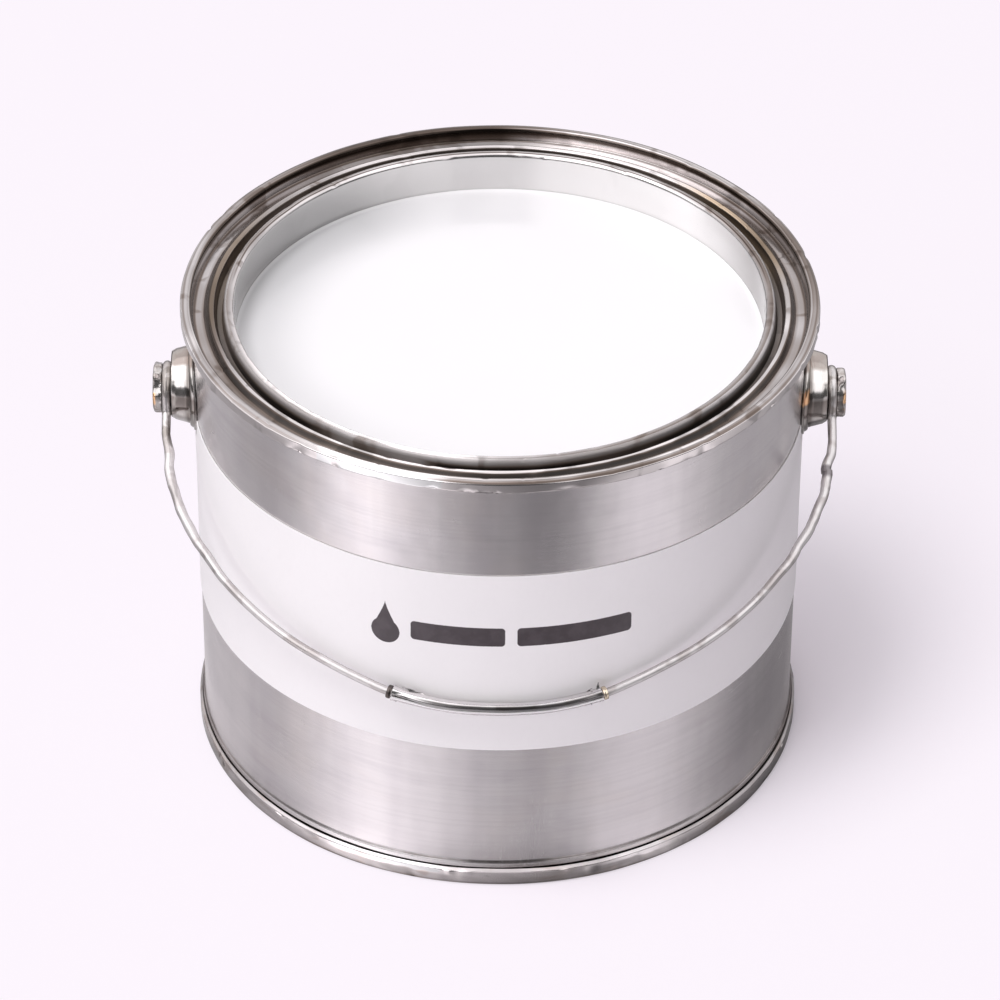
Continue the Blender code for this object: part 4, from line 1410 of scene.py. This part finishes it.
wall_tin = metal(
    "wall_satin_tinplate", (0.88, 0.842, 0.848), rough=0.26, uneven=0.014, warm=0.10,
    warm_scale=30.0, brush=(22, 22, 700), depth=0.0002, aniso=0.7, scratch=0.22, stain=0.12,
    tone=wall_tone, cloud=0.35)
ring_tin = metal(
    "ring_bright_tinplate", (0.88, 0.85, 0.85), rough=0.13, uneven=0.02, warm=0.0,
    brush=(30, 30, 200), depth=0.0008, scratch=0.12, stain=0.08, tone=ring_tone, dull=ring_dull,
    rim=0.3)
base_tin = metal(
    "base_bright_tinplate", (0.84, 0.81, 0.81), rough=0.16, uneven=0.05, warm=0.25,
    warm_scale=60.0, brush=(30, 30, 400), depth=0.0012, scratch=0.3, stain=0.15, pits=0.15,
    tone=base_tone, dull=base_dull)
ear_steel = metal(
    "ear_bright_steel", (0.86, 0.835, 0.81), rough=0.15, uneven=0.04, warm=0.2,
    warm_scale=160.0, brush=(900, 60, 60), depth=0.001, scratch=0.25, stain=0.2, pits=0.2,
    tone=ear_tone, rim=0.12)
rivet_steel = metal(
    "rivet_bright_steel", (0.74, 0.71, 0.69), rough=0.2, uneven=0.05, warm=0.2,
    warm_scale=190.0, brush=(200, 200, 200), depth=0.002, scratch=0.3, stain=0.3, pits=0.3,
    tone=rivet_tone, rim=0.15)
wire_steel = metal(
    "wire_drawn_steel", (0.72, 0.695, 0.69), rough=0.27, uneven=0.04, warm=0.15,
    warm_scale=120.0, brush=(160, 160, 160), depth=0.0006, scratch=0.1, stain=0.2, pits=0.25,
    tone=wire_tone, dull=wire_dull, rim=0.85)
grip_steel = metal(
    "sleeve_rolled_steel", (0.84, 0.82, 0.82), rough=0.13, uneven=0.04, warm=0.15,
    warm_scale=110.0, brush=(60, 700, 700), depth=0.0006, scratch=0.15, stain=0.1, pits=0.1,
    tone=grip_tone, dull=grip_dull, rim=0.55)
ferrule_warm = metal(
    "ferrule_warm_steel", (0.84, 0.72, 0.56), rough=0.22, uneven=0.05, warm=0.5,
    warm_scale=150.0, brush=(300, 300, 300), depth=0.001, scratch=0.2, stain=0.3, pits=0.2,
    rim=0.6)
ferrule_dark = metal(
    "ferrule_dark_steel", (0.13, 0.115, 0.112), rough=0.28, uneven=0.05, warm=0.3,
    warm_scale=150.0, brush=(300, 300, 300), depth=0.002, scratch=0.3, stain=0.3, pits=0.4)
label_paper, wet_paint, compound = label_material(), paint_material(), compound_material()


def set_material(obj, material):
    obj.data.materials.clear()
    obj.data.materials.append(material)


def dress(obj, material, body, cad):
    set_material(obj, material)
    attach(obj, body)
    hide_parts(cad)


dress(wall, wall_tin, "can", "body_wall")
dress(ring, ring_tin, "can", "top_ring")
dress(base_end, base_tin, "can", "bottom_end")
dress(paint, wet_paint, "can", "paint")
dress(label, label_paper, "can", "label")
for side, word in SIDES:
    dress(ears[side], ear_steel, "can", "ear_" + word)
    dress(rivets[side], rivet_steel, "can", "rivet_" + word)
    dress(ferrules[side], ferrule_warm if side > 0 else ferrule_dark, "bail",
          "grip_ferrule_" + word)
dress(rod, wire_steel, "bail", "bail_wire")
dress(tube, grip_steel, "bail", "grip_sleeve")
for node_name in ("top_seam_compound", "bottom_seam_compound"):
    set_material(frame["nodes"][node_name], compound)

# ------------------------------------------------------------------ world
BACKDROP = (0.985, 0.925, 0.992)
# brightness of the sky by the height of the direction, behind and in front of the can
SKY_BEHIND = [(0, 1.1), (0.25, 1.2), (0.45, 1.3), (0.6, 1.3), (0.75, 1.1), (0.9, 0.6), (1, 0.35)]
SKY_FRONT = [(0, 0.10), (0.3, 0.09), (0.6, 0.12), (0.8, 0.22), (1, 0.30)]


def sky(direction):
    """What metal mirrors above the floor: pale behind, dark in front, with soft boxes."""
    x, y, z = direction.split()
    around = bearing(x, y)
    behind, front = z.curve(SKY_BEHIND, smooth=True), z.curve(SKY_FRONT, smooth=True)
    value = blend(abs(around).ramp(62.0, 118.0), front, behind)
    rise = z.ramp(0.27, 0.36)
    # soft box, brightness: overhead, high left, high right, front left, front right
    boxes = [
        (near(direction, (0.0, 0.26, 0.966), inner=13.0, outer=24.0), 1.3),
        (near(direction, (-0.52, 0.0, 0.854), inner=32.0, outer=41.0), 1.9),
        (near(direction, (0.52, 0.0, 0.854), inner=30.0, outer=42.0), 1.5),
        (around.window(-8.0, -20.0, -66.0, -52.0) * rise, 1.7),
        (around.window(15.0, 26.0, 66.0, 54.0) * rise, 1.25),
    ]
    for box, brightness in boxes:
        value = largest(value, box * brightness)
    return value


def ray_kinds(tree):
    """Light path factors: glossy rays, camera rays."""
    rays = tree.nodes.new("ShaderNodeLightPath").outputs
    return Value(tree, rays["Is Glossy Ray"]), Value(tree, rays["Is Camera Ray"])


def build_world():
    world = bpy.data.worlds.new("studio")
    bpy.context.scene.world = world
    world.use_nodes = True
    tree = world.node_tree
    tree.nodes.clear()
    direction = source(tree, "ShaderNodeTexCoord", "Generated")
    x, y, z = direction.split()
    soft = 0.26 + z * 0.30
    soft = soft + (x * -0.03 + y * 0.05)
    glossy, camera = ray_kinds(tree)
    seen = mix(glossy, times(grey(soft), (1, 0.978, 1)), times(grey(sky(direction)), (1, 0.98, 1)))
    seen = mix(camera, seen, BACKDROP)
    background = call("ShaderNodeBackground", {"Color": seen, "Strength": 1.0})
    surface(tree, background, "ShaderNodeOutputWorld")


# ------------------------------------------------------------------ floor
# Brightness of the floor in reflections, by the bearing it is seen along: two bright
# stretches in front, left and right, with a dark gap between them.
STUDIO = [
    (-180, 0.72), (-150, 0.62), (-120, 0.46), (-100, 0.34), (-84, 0.42), (-68, 0.80), (-53, 1.42),
    (-42, 1.08), (-30, 0.66), (-17, 0.44), (-5, 0.33), (6, 0.26), (17, 0.21), (29, 0.25),
    (40, 0.60), (52, 0.98), (66, 0.98), (82, 0.62), (98, 0.46), (118, 0.48), (145, 0.40),
    (165, 0.55), (180, 0.72)]
# the same close to the can, where it evens out
CLOSE = [
    (-180, 0.60), (-140, 0.54), (-107, 0.60), (-90, 0.58), (-65, 0.88), (-50, 1.12), (-35, 1.02),
    (-15, 0.80), (5, 0.60), (25, 0.56), (45, 0.74), (60, 0.76), (80, 0.56), (100, 0.34),
    (125, 0.20), (145, 0.42), (160, 0.50), (180, 0.60)]
# the can's shade on the floor, where the painted glow is held back, by bearing: strength, and outer
# radius in millimetres
SHADE = [
    (-180, 0.0), (-20, 0.0), (0, 0.25), (14, 0.55), (28, 0.2), (40, 0.3), (55, 0.55),
    (70, 0.75), (85, 1.0), (112, 1.0), (130, 0.85), (146, 0.4), (170, 0.0), (180, 0.0)]
SHADE_REACH = [
    (-180, 110), (20, 110), (60, 122), (80, 140), (100, 175), (125, 225), (150, 240), (180, 240)]


def floor_material():
    material, tree = new_material("floor_pale")
    geometry = tree.nodes.new("ShaderNodeNewGeometry").outputs
    ray_x, ray_y, _ = scaled(Value(tree, geometry["Incoming"]), (-1, -1, -1)).split()
    away = bearing(ray_x, ray_y)
    x, y, _ = Value(tree, geometry["Position"]).split()
    distance = radius_mm(x, y)
    close = distance.window(215.0, 150.0, 90.0, 100.0) * 0.75
    value = away.curve(STUDIO, smooth=True)
    value = value * (1.0 - close) + close * away.curve(CLOSE, smooth=True)
    value = value * distance.ramp(100.0, 90.0, to=(1.0, 1.15))
    glossy, camera = ray_kinds(tree)
    tone = mix(glossy, (0.93, 0.872, 0.937), times((0.95, 0.93, 0.95), grey(value)))
    diffuse = call("ShaderNodeBsdfDiffuse", {"Color": tone})
    glow = source(tree, "ShaderNodeEmission")
    put(glow.socket.node.inputs["Color"], BACKDROP)
    # a painted glow lifts the pale floor almost to white for camera rays, except where the can shades
    # it
    spot = bearing(x, y)
    reach = spot.curve(SHADE_REACH, smooth=True)
    depth = largest(reach - distance, 0.0) / (reach - 86.0)
    shade = spot.curve(SHADE, smooth=True) * smallest(depth, 1.0)
    lift = camera * (0.88 - shade * 0.76)
    surface(tree, call("ShaderNodeMixShader", {0: lift, 1: diffuse, 2: glow}))
    return material


def build_floor():
    half, z = 6.0, -0.00005                         # metres
    corners = [(-half, -half, z), (half, -half, z), (half, half, z), (-half, half, z)]
    mesh = bpy.data.meshes.new("floor")
    mesh.from_pydata(corners, [], [(0, 1, 2, 3)])
    floor = bpy.data.objects.new("floor", mesh)
    bpy.context.scene.collection.objects.link(floor)
    mesh.materials.append(floor_material())


# ------------------------------------------------------------------ lights and camera
def add_light(name, azimuth, elevation, size, power):
    """Round area light 3 m from the can's middle; angles in degrees, azimuth from the front."""
    light = bpy.data.lights.new(name, "AREA")
    light.shape = "DISK"
    light.size = size
    light.energy = power
    light.color = (1.0, 0.985, 1.0)
    obj = bpy.data.objects.new(name, light)
    a, e = math.radians(azimuth), math.radians(elevation)
    back = Vector((math.sin(a) * math.cos(e), -math.cos(a) * math.cos(e), math.sin(e)))
    obj.location = Vector((0, 0, 0.06)) + back * 3.0
    obj.rotation_mode = "QUATERNION"
    obj.rotation_quaternion = back.to_track_quat("Z", "Y")
    bpy.context.scene.collection.objects.link(obj)
    obj.visible_glossy = False


def add_camera():
    """Long lens from the front and above, aimed at the can's middle and slightly rolled."""
    elevation, roll, distance = math.radians(36.338), math.radians(0.393), 1.485
    target = Vector((0.000381, 0.0, 0.067978))
    data = bpy.data.cameras.new("camera")
    data.lens = 193.567
    data.sensor_width = 36.0
    data.clip_start, data.clip_end = 0.05, 50.0
    camera = bpy.data.objects.new("camera", data)
    back = Vector((0.0, -math.cos(elevation), math.sin(elevation)))
    level, up = Vector((1, 0, 0)), Vector((0, math.sin(elevation), math.cos(elevation)))
    right = level * math.cos(roll) + up * math.sin(roll)
    top = up * math.cos(roll) - level * math.sin(roll)
    rotation = Matrix((right, top, back)).transposed()
    camera.matrix_world = Matrix.Translation(target + back * distance) @ rotation.to_4x4()
    bpy.context.scene.collection.objects.link(camera)
    bpy.context.scene.camera = camera


build_world()
build_floor()
add_light("key", azimuth=-58, elevation=69, size=1.3, power=47.0)
add_light("low", azimuth=-38, elevation=22, size=2.2, power=24.0)
add_camera()
scene = bpy.context.scene
scene.view_settings.view_transform = "Standard"
scene.view_settings.look = "None"
scene.cycles.use_denoising = True
